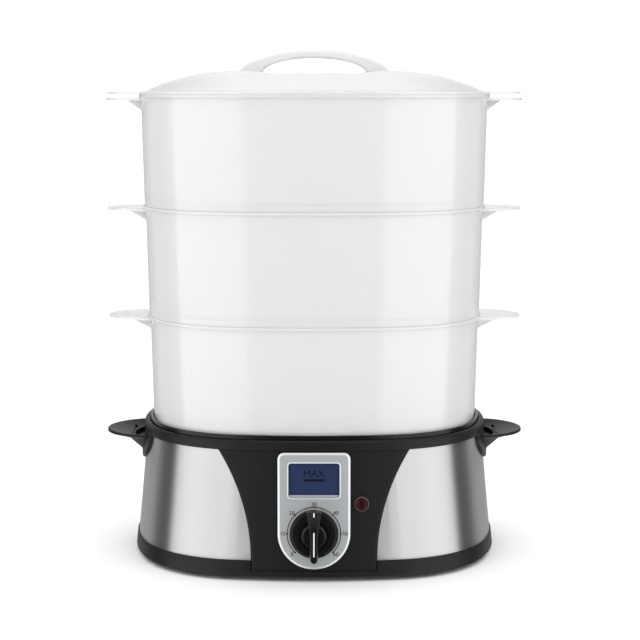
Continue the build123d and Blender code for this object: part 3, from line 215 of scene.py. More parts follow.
class HandleSettings(bpy.types.PropertyGroup):
    """Sizes of the two carrying handles."""

    out: length("Reach", "Tip beyond the steel's top edge", 34 * MM)
    half_depth: length("Half depth", "Half length of the rim along the steel", 38 * MM)
    rim_low: length("Rim drop", "Rim's top below the steel's top edge", 3 * MM)
    root: length("Root", "Centre of the plan ellipse in from the steel's top edge", 4 * MM)
    lip: length("Lip", "Height of the upright rim", 2.4 * MM)
    lip_slope: length("Lip slope", "Height of the slope below the upright rim", 0.2 * MM)
    wall: length("Wall", "Width of the rim", 1.9 * MM)
    dish: length("Dish depth", "Depth of the shallow dish", 4.2 * MM)
    draw_wide: length("Dish narrowing across", "How far the dish narrows to its floor", 18 * MM)
    draw_deep: length("Dish narrowing deep", "How far the dish narrows to its floor", 6 * MM)
    chord_in: length("Chord", "Handle's closed end in from the plan ellipse's centre", 2 * MM)
    well: length("Pocket depth", "Depth of the pocket beside the collar", 8 * MM)
    well_in: length("Pocket inset", "Pocket's edge in from the tip", 23 * MM)
    well_half: length("Pocket half depth", "Half length of the pocket", 28 * MM)
    well_edge: length("Pocket edge", "Pocket's edge below the dish's floor", 0.1 * MM)
    well_draft: length("Pocket draft", "How far the pocket narrows to its floor", 0.6 * MM)
    knee_drop: length("Knee", "Bracket's knee below the steel's top edge", 19.6 * MM)
    knee_half: length("Knee half depth", "Half length of the bracket at its knee", 20 * MM)
    web_in: length("Web inset", "Bracket's top in from the tip", 15.6 * MM)
    web_half: length("Web half depth", "Half length of the bracket at its top", 32 * MM)
    web_drop: length("Web drop", "Bracket's top below the upright rim", 2.8 * MM)
    foot_drop: length("Foot", "Bracket's foot below the steel's top edge", 28.6 * MM)
    foot_half: length("Foot half depth", "Half length of the bracket's foot", 7 * MM)
    proud: length("Bracket proud", "Bracket's foot beyond the pad", 0.9 * MM)
    pad_half: length("Pad half depth", "Half length of the pad that hugs the steel", 50 * MM)
    pad_drop: length("Pad drop", "Pad's lowest point below the steel's top edge", 25.6 * MM)
    pad: length("Pad thickness", "Thickness of the pad", 2 * MM)
    pad_sunk: length("Pad sunk", "Pad's back below the steel's face", 0.2 * MM)
    pad_round: length("Pad rounding", "Rounding of the pad's rim", 0.6 * MM)
    slot: length("Slot width", "Width of a drain slot", 2.2 * MM)
    slot_long: length("Slot length", "Length of a drain slot", 8.5 * MM)
    slot_round: length("Slot rounding", "Rounding of a drain slot's corners", 0.7 * MM)
    slot_deep: length("Slot depth", "Depth of a drain slot below the dish's floor", 0.5 * MM)
    slot_out: length("Slot place", "Drain slots' centres out from the pocket's edge", 1.5 * MM)
    slot_pitch: length("Slot pitch", "Distance between the drain slots", 12 * MM)


class PanelSettings(bpy.types.PropertyGroup):
    """Sizes of the bezel, water window, lamp and dial."""

    half_wide: length("Half width", "Bezel's half width and foot radius", 28 * MM)
    up: length("Height", "Bezel's top edge above the dial's centre", 62.8 * MM)
    corner: length("Corner radius", "Rounding of the upper corners", 5 * MM)
    proud: length("Proud", "Bezel's face above the fascia", 2.4 * MM)
    sunk: length("Sunk", "Bezel's back below the fascia's face", 1.2 * MM)
    # the border and the window's frame are painted in a paler silver, a painted highlight
    border: length("Border", "Width of the bright chamfered border", 1.5 * MM)
    chamfer: length("Chamfer", "Height of the bright border's slope", 0.9 * MM)
    face_round: length("Face rounding", "Rounding of the face's edge", 0.25 * MM)
    window_wide: length("Window width", "Width of the water window", 39.4 * MM)
    window_high: length("Window height", "Height of the water window", 25.2 * MM)
    window_up: length("Window place", "Window's centre above the dial's centre", 42.3 * MM)
    window_deep: length("Window depth", "Glass face below the bezel's face", 1.2 * MM)
    window_corner: length("Window corner", "Rounding of the window's corners", 2.2 * MM)
    glass_corner: length("Glass corner", "Rounding of the glass's corners", 1.5 * MM)
    glass_round: length("Glass rounding", "Rounding of the glass's face edge", 0.3 * MM)
    glass_back: length("Glass back", "Glass's back below the fascia's face", 4 * MM)
    fit: length("Fit", "Gap beside the glass and the sill", 0.2 * MM)
    sill: length("Window sill", "Height of the sill below the window", 1.8 * MM)
    sill_more: length("Sill overlap", "Sill's height beyond the gap that it fills", 0.6 * MM)
    sill_deep: length("Sill depth", "Sill's face below the bezel's, and its rounding", 0.8 * MM)
    lip: length("Window lip", "Width of the bright frame round the window", 1.1 * MM)
    lip_proud: length("Lip height", "Bright frame above the bezel's face", 0.6 * MM)
    lip_sunk: length("Lip sunk", "Bright frame's back below the bezel's face", 0.5 * MM)
    lip_round: length("Lip rounding", "Rounding of the bright frame", 0.45 * MM)
    mark_size: length("Mark size", "Size of the level mark's letters", 7.8 * MM)
    mark_up: length("Mark place", "Level mark's letters above the window's centre", 4.1 * MM)
    bar_long: length("Bar length", "Length of the level mark's bar", 15.8 * MM)
    bar_high: length("Bar height", "Height of the level mark's bar", 1.8 * MM)
    bar_round: length("Bar rounding", "Rounding of the bar's corners", 0.2 * MM)
    bar_down: length("Bar place", "Level mark's bar below the window's centre", 0.8 * MM)
    lamp_x: length("Lamp place", "Lamp's centre to the right of the dial", 36.9 * MM)
    lamp_up: length("Lamp height", "Lamp's centre above the dial's centre", 22.8 * MM)
    lamp_radius: length("Lens radius", "Radius of the red lens", 4.9 * MM)
    lens_back: length("Lens back", "Lens's back below the fascia's face", 3 * MM)
    lens_rim: length("Lens rim", "Height of the lens's upright side", 0.6 * MM)
    lens_rise: length("Lens rise", "Height of the lens's dome", 1.6 * MM)
    lamp_play: length("Lamp play", "Gap between the lens and its ring", 0.1 * MM)
    lamp_ring: length("Lamp ring radius", "Radius of the trim ring", 5.7 * MM)
    ring_sunk: length("Ring sunk", "Ring's back below the fascia's face", 1 * MM)
    ring_proud: length("Ring height", "Ring above the fascia's face", 1.3 * MM)
    ring_slope: length("Ring slope", "Height of the ring's outer slope", 0.6 * MM)
    ring_taper: length("Ring taper", "Width of the ring's outer slope", 0.4 * MM)
    scale_radius: length("Scale radius", "Radius of the dial's printed line", 20.7 * MM)
    scale_line: length("Scale line", "Half width of the dial's printed line", 0.32 * MM)
    dot_radius: length("Dot radius", "Radius of the dial's dots", 0.75 * MM)
    number_wide: length("Number place", "Outermost number from the dial's centre", 24 * MM)
    number_up: length("Number height above", "Uppermost number from the centre", 22.8 * MM)
    number_high: length("Number height", "Height of the dial's numbers", 4.3 * MM)


class KnobSettings(bpy.types.PropertyGroup):
    """Sizes of the timer knob."""

    radius: length("Radius", "Radius of the disc", 18.9 * MM)
    disc: length("Disc height", "Height of the disc", 4.2 * MM)
    hub_radius: length("Hub radius", "Radius of the hub", 9.4 * MM)
    hub: length("Hub height", "Height of the hub", 12 * MM)
    hub_edge: length("Hub edge", "Width of the hub's sloped edge", 1.2 * MM)
    groove: length("Groove", "Width of the groove round the hub", 2.4 * MM)
    groove_floor: length("Groove floor", "Height of the groove's floor", 2 * MM)
    grip: length("Grip height", "Height of the bar grip", 17.5 * MM)
    grip_half: length("Grip half width", "Half width of the grip's crest", 2.7 * MM)
    grip_flare: length("Grip flare", "Half width of the crest's upper end", 5.8 * MM)
    grip_reach: length("Grip reach", "Grip's lower end from the axis", 19.7 * MM)
    grip_lean: length("Grip lean", "How much wider the grip is at its foot, each side", 1.4 * MM)
    grip_foot: length("Grip foot", "Height of the grip's foot", 1.5 * MM)
    grip_in: length("Grip inset", "Grip's upper end in from the disc's side", 0.5 * MM)
    grip_round: length("Grip rounding", "Rounding of the crest's edges", 0.8 * MM)
    grip_droop: length("Grip droop", "How far the crest drops at its lower end", 0.6 * MM)
    flare_start: length("Flare start", "Where the crest begins to widen, below the axis", 3 * MM)
    ramp_start: length("Ramp start", "Where the crest begins to fall towards the pointer", 3 * MM)
    ramp_end: length("Ramp end", "Height of the crest at the pointer", 9 * MM)
    gap: length("Gap", "Gap between the knob and the bezel", 0.6 * MM)
    line_wide: length("Line width", "Width of the printed line", 0.95 * MM)
    line_long: length("Line length", "Length of the printed line", 18.9 * MM)
    line_round: length("Line rounding", "Rounding of the line's ends", 0.4 * MM)
    line_down: length("Line place", "Line's middle below the axis", 4.9 * MM)
    tip_start: length("Pointer start", "Pointer's lower end in from the disc's side", 3.6 * MM)
    tip_end: length("Pointer end", "Pointer's upper end in from the disc's side", 0.9 * MM)
    tip_half: length("Pointer half width", "Half width of the printed pointer", 0.48 * MM)


class FinishSettings(bpy.types.PropertyGroup):
    """Colours of the materials."""

    frosted: colour("Frosted plastic", "Colour of the bowls and the lid", "#F8F8F9")
    black: colour("Black plastic", "Colour of the moulded black parts", "#0D0D0E")
    steel: colour("Steel", "Colour of the brushed steel", "#C6C6C8")
    silver: colour("Silver lacquer", "Colour of the control bezel", "#B2B5B7")
    # the bright lacquer is a painted highlight: a paler copy of the silver for the border and the
    # window frame
    bright: colour("Bright lacquer", "Colour of the bezel's border and window frame", "#DCDDDF")
    window: colour("Water window", "Colour of the tinted window", "#293556")
    lens: colour("Lamp lens", "Colour of the indicator's lens", "#2E060C")
    print_white: colour("Knob print", "Colour of the knob's marks", "#E9EBEC")
    print_dark: colour("Panel print", "Colour of the dial's print and the level mark", "#04050A")


class StageSettings(bpy.types.PropertyGroup):
    """Camera and lights. Angles of the room that gloss shows are measured from the front."""

    camera_x: length("Camera across", "Camera to the right of the object's middle", 4.65 * MM)
    camera_back: length("Camera distance", "Camera in front of the ovals' middle", 1.4)
    camera_height: length("Camera height", "Height of the camera", 373.3 * MM)
    camera_tilt: angle("Camera tilt", "Angle of the camera from straight down", 82.4687)
    lens: amount("Lens", "Focal length in millimetres", 95.73)
    sensor: amount("Sensor", "Width of the sensor in millimetres", 36.0)
    floor_half: length("Floor", "Half width of the floor", 2.5)
    top_wide: length("Top light width", "Width of the light above", 1.4)
    top_height: length("Top light height", "Height of the light above the floor", 1.85)
    top_front: length("Top light place", "Light above in front of the ovals' middle", 0.2)
    top_power: FloatProperty(
        name="Top power", description="Power of the light above", default=2.0, unit="POWER"
    )
    room_light: amount("Room", "Brightness of the white studio", 1.28)
    room_mirrored: amount("Room in reflections", "Brightness of the room in gloss", 0.13)
    band_light: amount("Band light", "Brightness of the softboxes in gloss", 1.55)
    band_gain: amount("Band gain", "Share by which a softbox brightens sideways", 0.12)
    side_light: amount("Side light", "Brightness of the room's sides in gloss", 0.5)
    back_light: amount("Back light", "Brightness of the back and the ceiling in gloss", 0.9)
    band_start: angle("Band start", "Where an upright softbox begins", 20)
    band_edge: angle("Band edge", "Width of a softbox's soft front edge", 3)
    gain_start: angle("Gain start", "Where a softbox begins to brighten", 40)
    gain_end: angle("Gain end", "Where a softbox is brightest", 66)
    band_end: angle("Band end", "Where an upright softbox ends", 88)
    band_fade: angle("Band fade", "Width of a softbox's soft rear edge", 7)
    side_start: angle("Side start", "Where the sides begin to brighten", 112)
    side_end: angle("Side end", "Where the sides reach their brightness", 132)
    back_start: angle("Back start", "Where the back begins to brighten", 164)
    back_end: angle("Back end", "Where the back reaches its brightness", 176)
    ceiling_low: amount("Ceiling start", "Upward share of a view where the ceiling begins", 0.55)
    ceiling_high: amount("Ceiling end", "Upward share of a view that is all ceiling", 0.85)


SETTINGS = {
    "steamer_bowls": BowlSettings,
    "steamer_lid": LidSettings,
    "steamer_base": BaseSettings,
    "steamer_handles": HandleSettings,
    "steamer_panel": PanelSettings,
    "steamer_knob": KnobSettings,
    "steamer_finish": FinishSettings,
    "steamer_stage": StageSettings,
}


# ---- plan curve ----
def oval_arcs(half_w, half_d):
    """Each arc of one quarter from the side to the front: centre, radius, turn where it ends."""
    front_r, side_r, corner_r = FRONT_BOW * half_d, SIDE_BOW * half_w, CORNER_BOW * half_d
    front = (0.0, half_d - front_r)
    side = (half_w - side_r, 0.0)
    # the corner's centre is where two circles about the other centres cross
    reach_f = front_r - corner_r
    reach_s = side_r - corner_r
    span = math.dist(front, side)
    along = (reach_f**2 - reach_s**2 + span**2) / (2 * span)
    off = math.sqrt(reach_f**2 - along**2)
    ux, uy = (side[0] - front[0]) / span, (side[1] - front[1]) / span
    corner = (front[0] + ux * along + uy * off, front[1] + uy * along - ux * off)
    turn_f = math.atan2(corner[1] - front[1], corner[0])
    turn_s = math.atan2(corner[1], corner[0] - side[0])
    return [(side, side_r, turn_s), (corner, corner_r, turn_f), (front, front_r, math.pi / 2)]


def oval_point(half_w, half_d, grow, turn):
    """Point of the oval, offset by grow, where its outer side faces the angle turn."""
    c, s = math.cos(turn), math.sin(turn)
    steep = math.atan2(abs(s), abs(c))
    for centre, radius, end in oval_arcs(half_w, half_d):
        if steep <= end + 1e-9:
            break
    x = math.copysign(centre[0] + (radius + grow) * abs(c), c)
    y = math.copysign(centre[1] + (radius + grow) * abs(s), s)
    return x, y + PLAN_Y


def next_ring(bm, edges):
    """Extrudes a ring of edges, and returns the points and the edges of the new ring."""
    made = bmesh.ops.extrude_edge_only(bm, edges=edges)["geom"]
    verts = [item for item in made if isinstance(item, bmesh.types.BMVert)]
    edges = [item for item in made if isinstance(item, bmesh.types.BMEdge) and item.is_boundary]
    return verts, edges


def oval_sweep(levels, joined=False):
    """Skin through ovals, closed by its two end ovals or joined end to end, and its rings.

    Each level is a height, half width, half depth, outward offset and, if any, a scale.
    """
    bm = bmesh.new()
    turns = bm.verts.layers.float.new("turn")
    verts = bmesh.ops.create_circle(bm, segments=OVAL_STEPS, radius=1.0)["verts"]
    for vert in verts:
        vert[turns] = math.atan2(vert.co.y, vert.co.x)
    edges = bm.edges[:]
    rings = []
    for place, (z, half_w, half_d, grow, *scale) in enumerate(levels):
        if place:
            verts, edges = next_ring(bm, edges)
        shrink = scale[0] if scale else 1.0
        for vert in verts:
            x, y = oval_point(half_w, half_d, grow, vert[turns])
            vert.co = (x * shrink, PLAN_Y + (y - PLAN_Y) * shrink, z)
        rings.append(edges)
    if joined:
        bmesh.ops.bridge_loops(bm, edges=rings[0] + rings[-1])
    else:
        bmesh.ops.contextual_create(bm, geom=rings[0])
        bmesh.ops.contextual_create(bm, geom=rings[-1])
    return bm, rings


def loops_through(bm, loops):
    """Adds a closed skin through loops that have the same number of points; returns its rings."""
    verts = [bm.verts.new(point) for point in loops[0]]
    edges = [bm.edges.new((verts[place - 1], vert)) for place, vert in enumerate(verts)]
    rings = [edges]
    for points in loops[1:]:
        verts, edges = next_ring(bm, edges)
        for vert, point in zip(verts, points):
            vert.co = point
        rings.append(edges)
    bmesh.ops.contextual_create(bm, geom=rings[0])
    bmesh.ops.contextual_create(bm, geom=rings[-1])
    return rings


def soften(bm, edges, radius, segments=3):
    """Rounds those of the edges that are still there."""
    bmesh.ops.bevel(
        bm,
        geom=[edge for edge in edges if edge.is_valid],
        offset=radius,
        offset_type="OFFSET",
        segments=segments,
        profile=0.5,
        affect="EDGES",
        clamp_overlap=True,
        material=-1,
    )


def thicken(bm, faces, step):
    """Gives faces a thickness, and returns what was made on their far side."""
    made = bmesh.ops.extrude_face_region(bm, geom=faces)["geom"]
    verts = [item for item in made if isinstance(item, bmesh.types.BMVert)]
    bmesh.ops.translate(bm, verts=verts, vec=step)
    return made


def plate(bm, outline, low, high, edge=0.0, edge_low=0.0):
    """Adds a closed plate with a plan outline between two heights, with rounded rims."""
    face = bm.faces.new([bm.verts.new((x, y, low)) for x, y in outline])
    made = thicken(bm, [face], (0, 0, high - low))
    top = next(item for item in made if isinstance(item, bmesh.types.BMFace))
    if edge:
        soften(bm, top.edges[:], edge)
    if edge_low:
        soften(bm, face.edges[:], edge_low)


def rib(bm, corners, y, thick):
    """Adds an upright plate with corners in the XZ plane."""
    face = bm.faces.new([bm.verts.new((x, y - thick / 2, z)) for x, z in corners])
    thicken(bm, [face], (0, thick, 0))


def rounded_rectangle(width, height, radius, x=0.0, y=0.0, steps=8):
    """Outline of a rectangle with rounded corners, anticlockwise."""
    points = []
    for corner in range(4):
        cx = x + math.copysign(width / 2 - radius, (1, -1, -1, 1)[corner])
        cy = y + math.copysign(height / 2 - radius, (1, 1, -1, -1)[corner])
        for step in range(steps + 1):
            turn = (corner + step / steps) * math.pi / 2
            points.append((cx + radius * math.cos(turn), cy + radius * math.sin(turn)))
    return points


def circle_points(radius, x, y, steps):
    """Outline of a circle, anticlockwise."""
    turns = [2 * math.pi * step / steps for step in range(steps)]
    return [(x + radius * math.cos(turn), y + radius * math.sin(turn)) for turn in turns]


def revolve(bm, profile, steps, x=0.0, y=0.0):
    """Adds the surface that a profile of (radius, height) sweeps about an upright axis."""
    verts = [bm.verts.new((x + r, y, z)) for r, z in profile]
    edges = [bm.edges.new(pair) for pair in zip(verts, verts[1:])]
    bmesh.ops.spin(
        bm,
        geom=verts + edges,
        cent=(x, y, 0),
        axis=(0, 0, 1),
        angle=2 * math.pi,
        steps=steps,
        use_merge=True,
    )


# ---- finishing a piece ----
def to_object(bm, name, material=None):
    """Closes and smooths a mesh and links it as an object at the origin."""
    bmesh.ops.remove_doubles(bm, verts=bm.verts, dist=1e-6)
    bmesh.ops.recalc_face_normals(bm, faces=bm.faces)
    mesh = bpy.data.meshes.new(name)
    bm.to_mesh(mesh)
    bm.free()
    mesh.shade_smooth()
    mesh.set_sharp_from_angle(angle=SHARP)
    if material:
        mesh.materials.append(material)
    made = bpy.data.objects.new(name, mesh)
    bpy.context.scene.collection.objects.link(made)
    return made


def settle(made, body, slot, *nodes):
    """Ties a piece to its body, in place of CAD nodes; the slot is not used."""
    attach(made, body)
    if nodes:
        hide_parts(*nodes)


def combine(made, tool_bm, operation, overlapping=False):
    """Joins or cuts a piece with another closed mesh."""
    tool = to_object(tool_bm, made.name + "_tool")
    boolean = made.modifiers.new("boolean", "BOOLEAN")
    boolean.operation = operation
    boolean.solver = "EXACT"
    boolean.use_self = overlapping
    boolean.object = tool
    shown = bpy.context.evaluated_depsgraph_get()
    result = bpy.data.meshes.new_from_object(made.evaluated_get(shown))
    made.modifiers.clear()
    old = made.data
    made.data = result
    result.name = made.name
    bpy.data.meshes.remove(old)
    bpy.data.objects.remove(tool)
    result.shade_smooth()
    result.set_sharp_from_angle(angle=SHARP)


# ---- materials ----
def feed(tree, node, values):
    """Gives each named input of a node its value, or a link where the value is an output."""
    for name, value in values.items():
        if isinstance(value, bpy.types.NodeSocket):
            tree.links.new(value, node.inputs[name])
        else:
            node.inputs[name].default_value = value


def add_node(tree, kind, values=None, **fields):
    """Adds a shader node with its fields, values and links."""
    node = tree.nodes.new(kind)
    for name, value in fields.items():
        setattr(node, name, value)
    feed(tree, node, values or {})
    return node


def new_material(name, base, values):
    """Material with a principled shader; returns it with its tree and shader."""
    material = bpy.data.materials.new(name)
    material.use_nodes = True
    tree = material.node_tree
    shader = tree.nodes["Principled BSDF"]
    feed(tree, shader, {"Base Color": (*base, 1), **values})
    return material, tree, shader


def add_grain(tree, shader, size, depth, rough=None, stretch=(1, 1, 1), detail=3.0):
    """Fine bump of a given size, and a little change of roughness between two values."""
    place = add_node(tree, "ShaderNodeTexCoord").outputs["Object"]
    spread = add_node(tree, "ShaderNodeMapping", {"Vector": place, "Scale": stretch})
    grain = {"Vector": spread.outputs["Vector"], "Scale": 1 / size, "Detail": detail}
    noise = add_node(tree, "ShaderNodeTexNoise", grain).outputs["Fac"]
    bump = add_node(tree, "ShaderNodeBump", {"Height": noise, "Distance": depth, "Strength": 1.0})
    feed(tree, shader, {"Normal": bump.outputs["Normal"]})
    if rough:
        limits = {"Value": noise, "To Min": rough[0], "To Max": rough[1]}
        varied = add_node(tree, "ShaderNodeMapRange", limits)
        feed(tree, shader, {"Roughness": varied.outputs["Result"]})


def grained(name, base, values, size, depth, rough=None):
    """Material of one colour with a fine grain."""
    material, tree, shader = new_material(name, base, values)
    add_grain(tree, shader, size, depth, rough)
    return material


def frosted_plastic(base):
    """Milky moulded polypropylene: light passes softly, and strip lights show as pale bands."""
    values = {
        "Roughness": 0.42,
        "IOR": 1.49,
        "Transmission Weight": 0.35,
        "Coat Weight": 1.0,
        "Coat Roughness": 0.05,
    }
    return grained("frosted_polypropylene", base, values, 0.6 * MM, 0.01 * MM)


def black_plastic(base):
    """Satin moulded ABS: a soft wide sheen over fine mould texture."""
    values = {"Roughness": 0.42, "IOR": 1.5, "Specular IOR Level": 0.28}
    return grained("black_abs", base, values, 0.35 * MM, 0.006 * MM, (0.36, 0.5))


def gloss_plastic(base):
    """Polished ABS of the knob and tray: sharper light lines on the same black."""
    values = {"Roughness": 0.22, "IOR": 1.5, "Specular IOR Level": 0.32}
    return grained("gloss_abs", base, values, 0.8 * MM, 0.003 * MM, (0.16, 0.26))


def brushed_steel(base):
    """Stainless sheet brushed along its length: hair lines that stretch highlights up and down."""
    values = {
        "Metallic": 1.0,
        "Roughness": 0.38,
        "Anisotropic": 1.0,
        "Anisotropic Rotation": 0.25,
    }
    material, tree, shader = new_material("brushed_stainless", base, values)
    # hair lines 24 mm long and 0.25 mm high, coarser than real ones so that they show
    hair = (1 / 24, 1 / 24, 4.0)
    add_grain(tree, shader, MM, 0.004 * MM, (0.33, 0.43), hair, detail=4.0)
    around = add_node(tree, "ShaderNodeTangent", direction_type="RADIAL", axis="Z")
    feed(tree, shader, {"Tangent": around.outputs["Tangent"]})
    return material


def silver_lacquer(base):
    """Silver paint on plastic: fine flakes under a satin coat."""
    values = {"Metallic": 0.35, "Roughness": 0.36, "Coat Weight": 0.2}
    return grained("silver_lacquer", base, values, 0.12 * MM, 0.004 * MM, (0.28, 0.42))


def painted_highlight_silver(base):
    """Painted highlight on the silver edge: paler and smoother than the face it borders."""
    values = {"Metallic": 0.3, "Roughness": 0.3, "Coat Weight": 0.3}
    return grained("painted_highlight_silver", base, values, 0.4 * MM, 0.002 * MM)


def tinted_window(base):
    """Polished navy polycarbonate: dark water shows behind a sharp sheen."""
    values = {"Roughness": 0.12, "IOR": 1.5, "Transmission Weight": 0.1, "Specular IOR Level": 0.3}
    return grained("tinted_polycarbonate", base, values, 3 * MM, 0.004 * MM)


def red_lens(base):
    """Unlit red lens: nearly black glass with a red heart."""
    values = {"Roughness": 0.2, "IOR": 1.5, "Specular IOR Level": 0.14}
    return grained("red_polycarbonate", base, values, 1.5 * MM, 0.01 * MM)


def print_ink(name, base):
    """Pad-printed ink: flat and slightly rough."""
    values = {"Roughness": 0.6, "Specular IOR Level": 0.15}
    return grained(name, base, values, 0.2 * MM, 0.002 * MM)


def plain(name, code, rough, metallic=0.0):
    """Material of a part that hardly shows: one colour with a fine grain."""
    values = {"Metallic": metallic, "Roughness": rough}
    limits = (rough * 0.85, min(1.0, rough * 1.15))
    return grained(name, rgb(code), values, 0.5 * MM, 0.01 * MM, limits)


# ---- bowls and lid ----
def bowl_size(bowl, name):
    """Half width, half depth, wall's lower edge and rim height of a bowl."""
    low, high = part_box(name)
    half_d = (high.y - low.y) / 2 - bowl.draft - bowl.bead
    return half_d + PLAN_GAP, half_d, low.z + bowl.foot_drop, high.z


def wall_x(half_w, grow, y):
    """Distance of the side wall from the middle at a depth y."""
    side_r = SIDE_BOW * half_w
    return half_w - side_r + math.sqrt((side_r + grow) ** 2 - y**2)


def ear_outline(bowl, half_w, grow, reach, side):
    """Plan of an ear: part of an ellipse outside, the middle of the wall inside."""
    root = half_w - bowl.ear_root
    steps = 40
    outer = []
    for step in range(-steps, steps + 1):
        turn = step / steps * math.pi / 2
        x = root + (reach - root) * math.cos(turn)
        y = bowl.ear_half_depth * math.sin(turn)
        if x > wall_x(half_w, grow, y):
            outer.append((x, y))
    ends = outer[-1][1]
    depths = [ends * (1 - step / 8) for step in range(17)]
    inner = [(wall_x(half_w, grow, y), y) for y in depths]
    points = [(side * x, PLAN_Y + y) for x, y in outer + inner]
    return points if side > 0 else points[::-1]


def add_ears(bm, bowl, half_w, grow, reach, top, ribs=True):
    """Adds both ears, with ribs under them where they have any."""
    low = top - bowl.ear_thick
    for side in (-1, 1):
        outline = ear_outline(bowl, half_w, grow - bowl.wall / 2, reach, side)
        plate(bm, outline, low, top, edge=bowl.ear_edge, edge_low=bowl.ear_edge_low)
        for place in (-1, 0, 1) if ribs else ():
            y = place * bowl.web_pitch
            root = wall_x(half_w, grow - bowl.wall / 2, y)
            tip = bowl_size(bowl, "bowl_3")[0] + bowl.web_reach
            high = low + bowl.web_sink
            corners = [(root, high), (tip, high), (root, low - bowl.web_height)]
            rib(bm, [(side * x, z) for x, z in corners], PLAN_Y + y, bowl.ear_thick)


def slot_outlines(bowl, half_w, half_d):
    """Outlines of the steam slots in staggered rows, kept inside the floor's edge."""
    rows = int(half_d // bowl.slot_pitch_y)
    columns = int(half_w // bowl.slot_pitch_x) + 1
    outlines = []
    for row in range(-rows, rows + 1):
        y = row * bowl.slot_pitch_y
        shift = bowl.slot_pitch_x / 2 if row % 2 else 0.0
        for column in range(-columns, columns + 1):
            x = column * bowl.slot_pitch_x + shift
            across = (abs(x) + bowl.slot_long / 2) / (half_w - bowl.slot_margin)
            deep = (abs(y) + bowl.slot_wide / 2) / (half_d - bowl.slot_margin)
            if across**SLOT_FIELD + deep**SLOT_FIELD < 1:
                size = bowl.slot_long, bowl.slot_wide, bowl.slot_round
                outlines.append(rounded_rectangle(*size, x, PLAN_Y + y, steps=3))
    return outlines


def build_bowl(bowl, name, reach, material):
    """One bowl: stepped foot, slotted floor, beaded rim and two ears."""
    half_w, half_d, low, top = bowl_size(bowl, name)
    floor = low + bowl.floor_rise
    floor_top = floor + bowl.floor_thick
    share_up = bowl.draft * (floor_top - low) / (top - low)
    foot_out = -bowl.foot_in
    foot_inside = foot_out - bowl.floor_thick
    bead_low = top - bowl.bead_height
    profile = [
        (floor, foot_inside),
        (low - bowl.foot_drop, foot_inside),
        (low - bowl.foot_drop, foot_out),
        (floor, foot_out),
        (floor, -bowl.wall),
        (low, -bowl.wall),
        (low, 0.0),
        (bead_low, bowl.draft),
        (bead_low, bowl.draft + bowl.bead),
        (top, bowl.draft + bowl.bead),
        (top, bowl.draft - bowl.wall),
        (floor_top, share_up - bowl.wall),
    ]
    levels = [(z, half_w, half_d, grow) for z, grow in profile]
    bm, rings = oval_sweep(levels)
    # foot, wall's lower edge, bead, rim and the floor's inner corner
    for place in (1, 2, 5, 6, 8, 9, 10, 11):
        soften(bm, rings[place], bowl.edge)
    made = to_object(bm, name + "_frosted", material)
    ears = bmesh.new()
    add_ears(ears, bowl, half_w, bowl.draft, reach, top - bowl.ear_drop)
    combine(made, ears, "UNION", overlapping=True)
    slots = bmesh.new()
    for outline in slot_outlines(bowl, half_w, half_d):
        plate(slots, outline, floor - CUT, floor_top + CUT)
    combine(made, slots, "DIFFERENCE")
    settle(made, name, "frosted_plastic", name)


class STEAMER_OT_bowls(bpy.types.Operator):
    """Builds the three steaming bowls"""

    bl_idname = "steamer.bowls"
    bl_label = "Bowls"

    def execute(self, context):
        bowl = context.scene.steamer_bowls
        material = frosted_plastic(context.scene.steamer_finish.frosted)
        for name in BOWL_NAMES:
            build_bowl(bowl, name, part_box(name)[1].x, material)
        return {"FINISHED"}


def lid_dome(lid, half_w, half_d):
    """Levels of the lid's outer dome, from the flange to the flat crown."""
    low = RIM + lid.flange
    rise = lid.crown - lid.flange
    levels = []
    for step in range(DOME_STEPS + 1):
        way = step / DOME_STEPS
        grow = -lid.fit - (lid.flat - lid.fit) * way
        levels.append((low + rise * math.sin(math.pi / 2 * way**DOME_EASE), half_w, half_d, grow))
    return levels


def add_arch(bm, lid):
    """Adds the arched grip: a round-edged bar between an outer curve and a half ellipse."""
    foot = RIM + lid.crown - lid.arch_sink
    rise = RIM + lid.arch_top - foot
    loops = []
    for step in range(ARCH_STEPS + 1):
        turn = math.pi * step / ARCH_STEPS
        c, s = math.cos(turn), math.sin(turn)
        outer = Vector((lid.arch_half * c, PLAN_Y, foot + rise * s**ARCH_EASE))
        inner = Vector((lid.open_half * c, PLAN_Y, foot + lid.open_height * s))
        thick = (outer - inner).length
        outward = (outer - inner) / thick
        radius = min(lid.arch_round, 0.45 * thick)
        outline = rounded_rectangle(thick, lid.arch_wide, radius, thick / 2, steps=4)
        loops.append([inner + outward * across + Vector((0, y, 0)) for across, y in outline])
    loops_through(bm, loops)


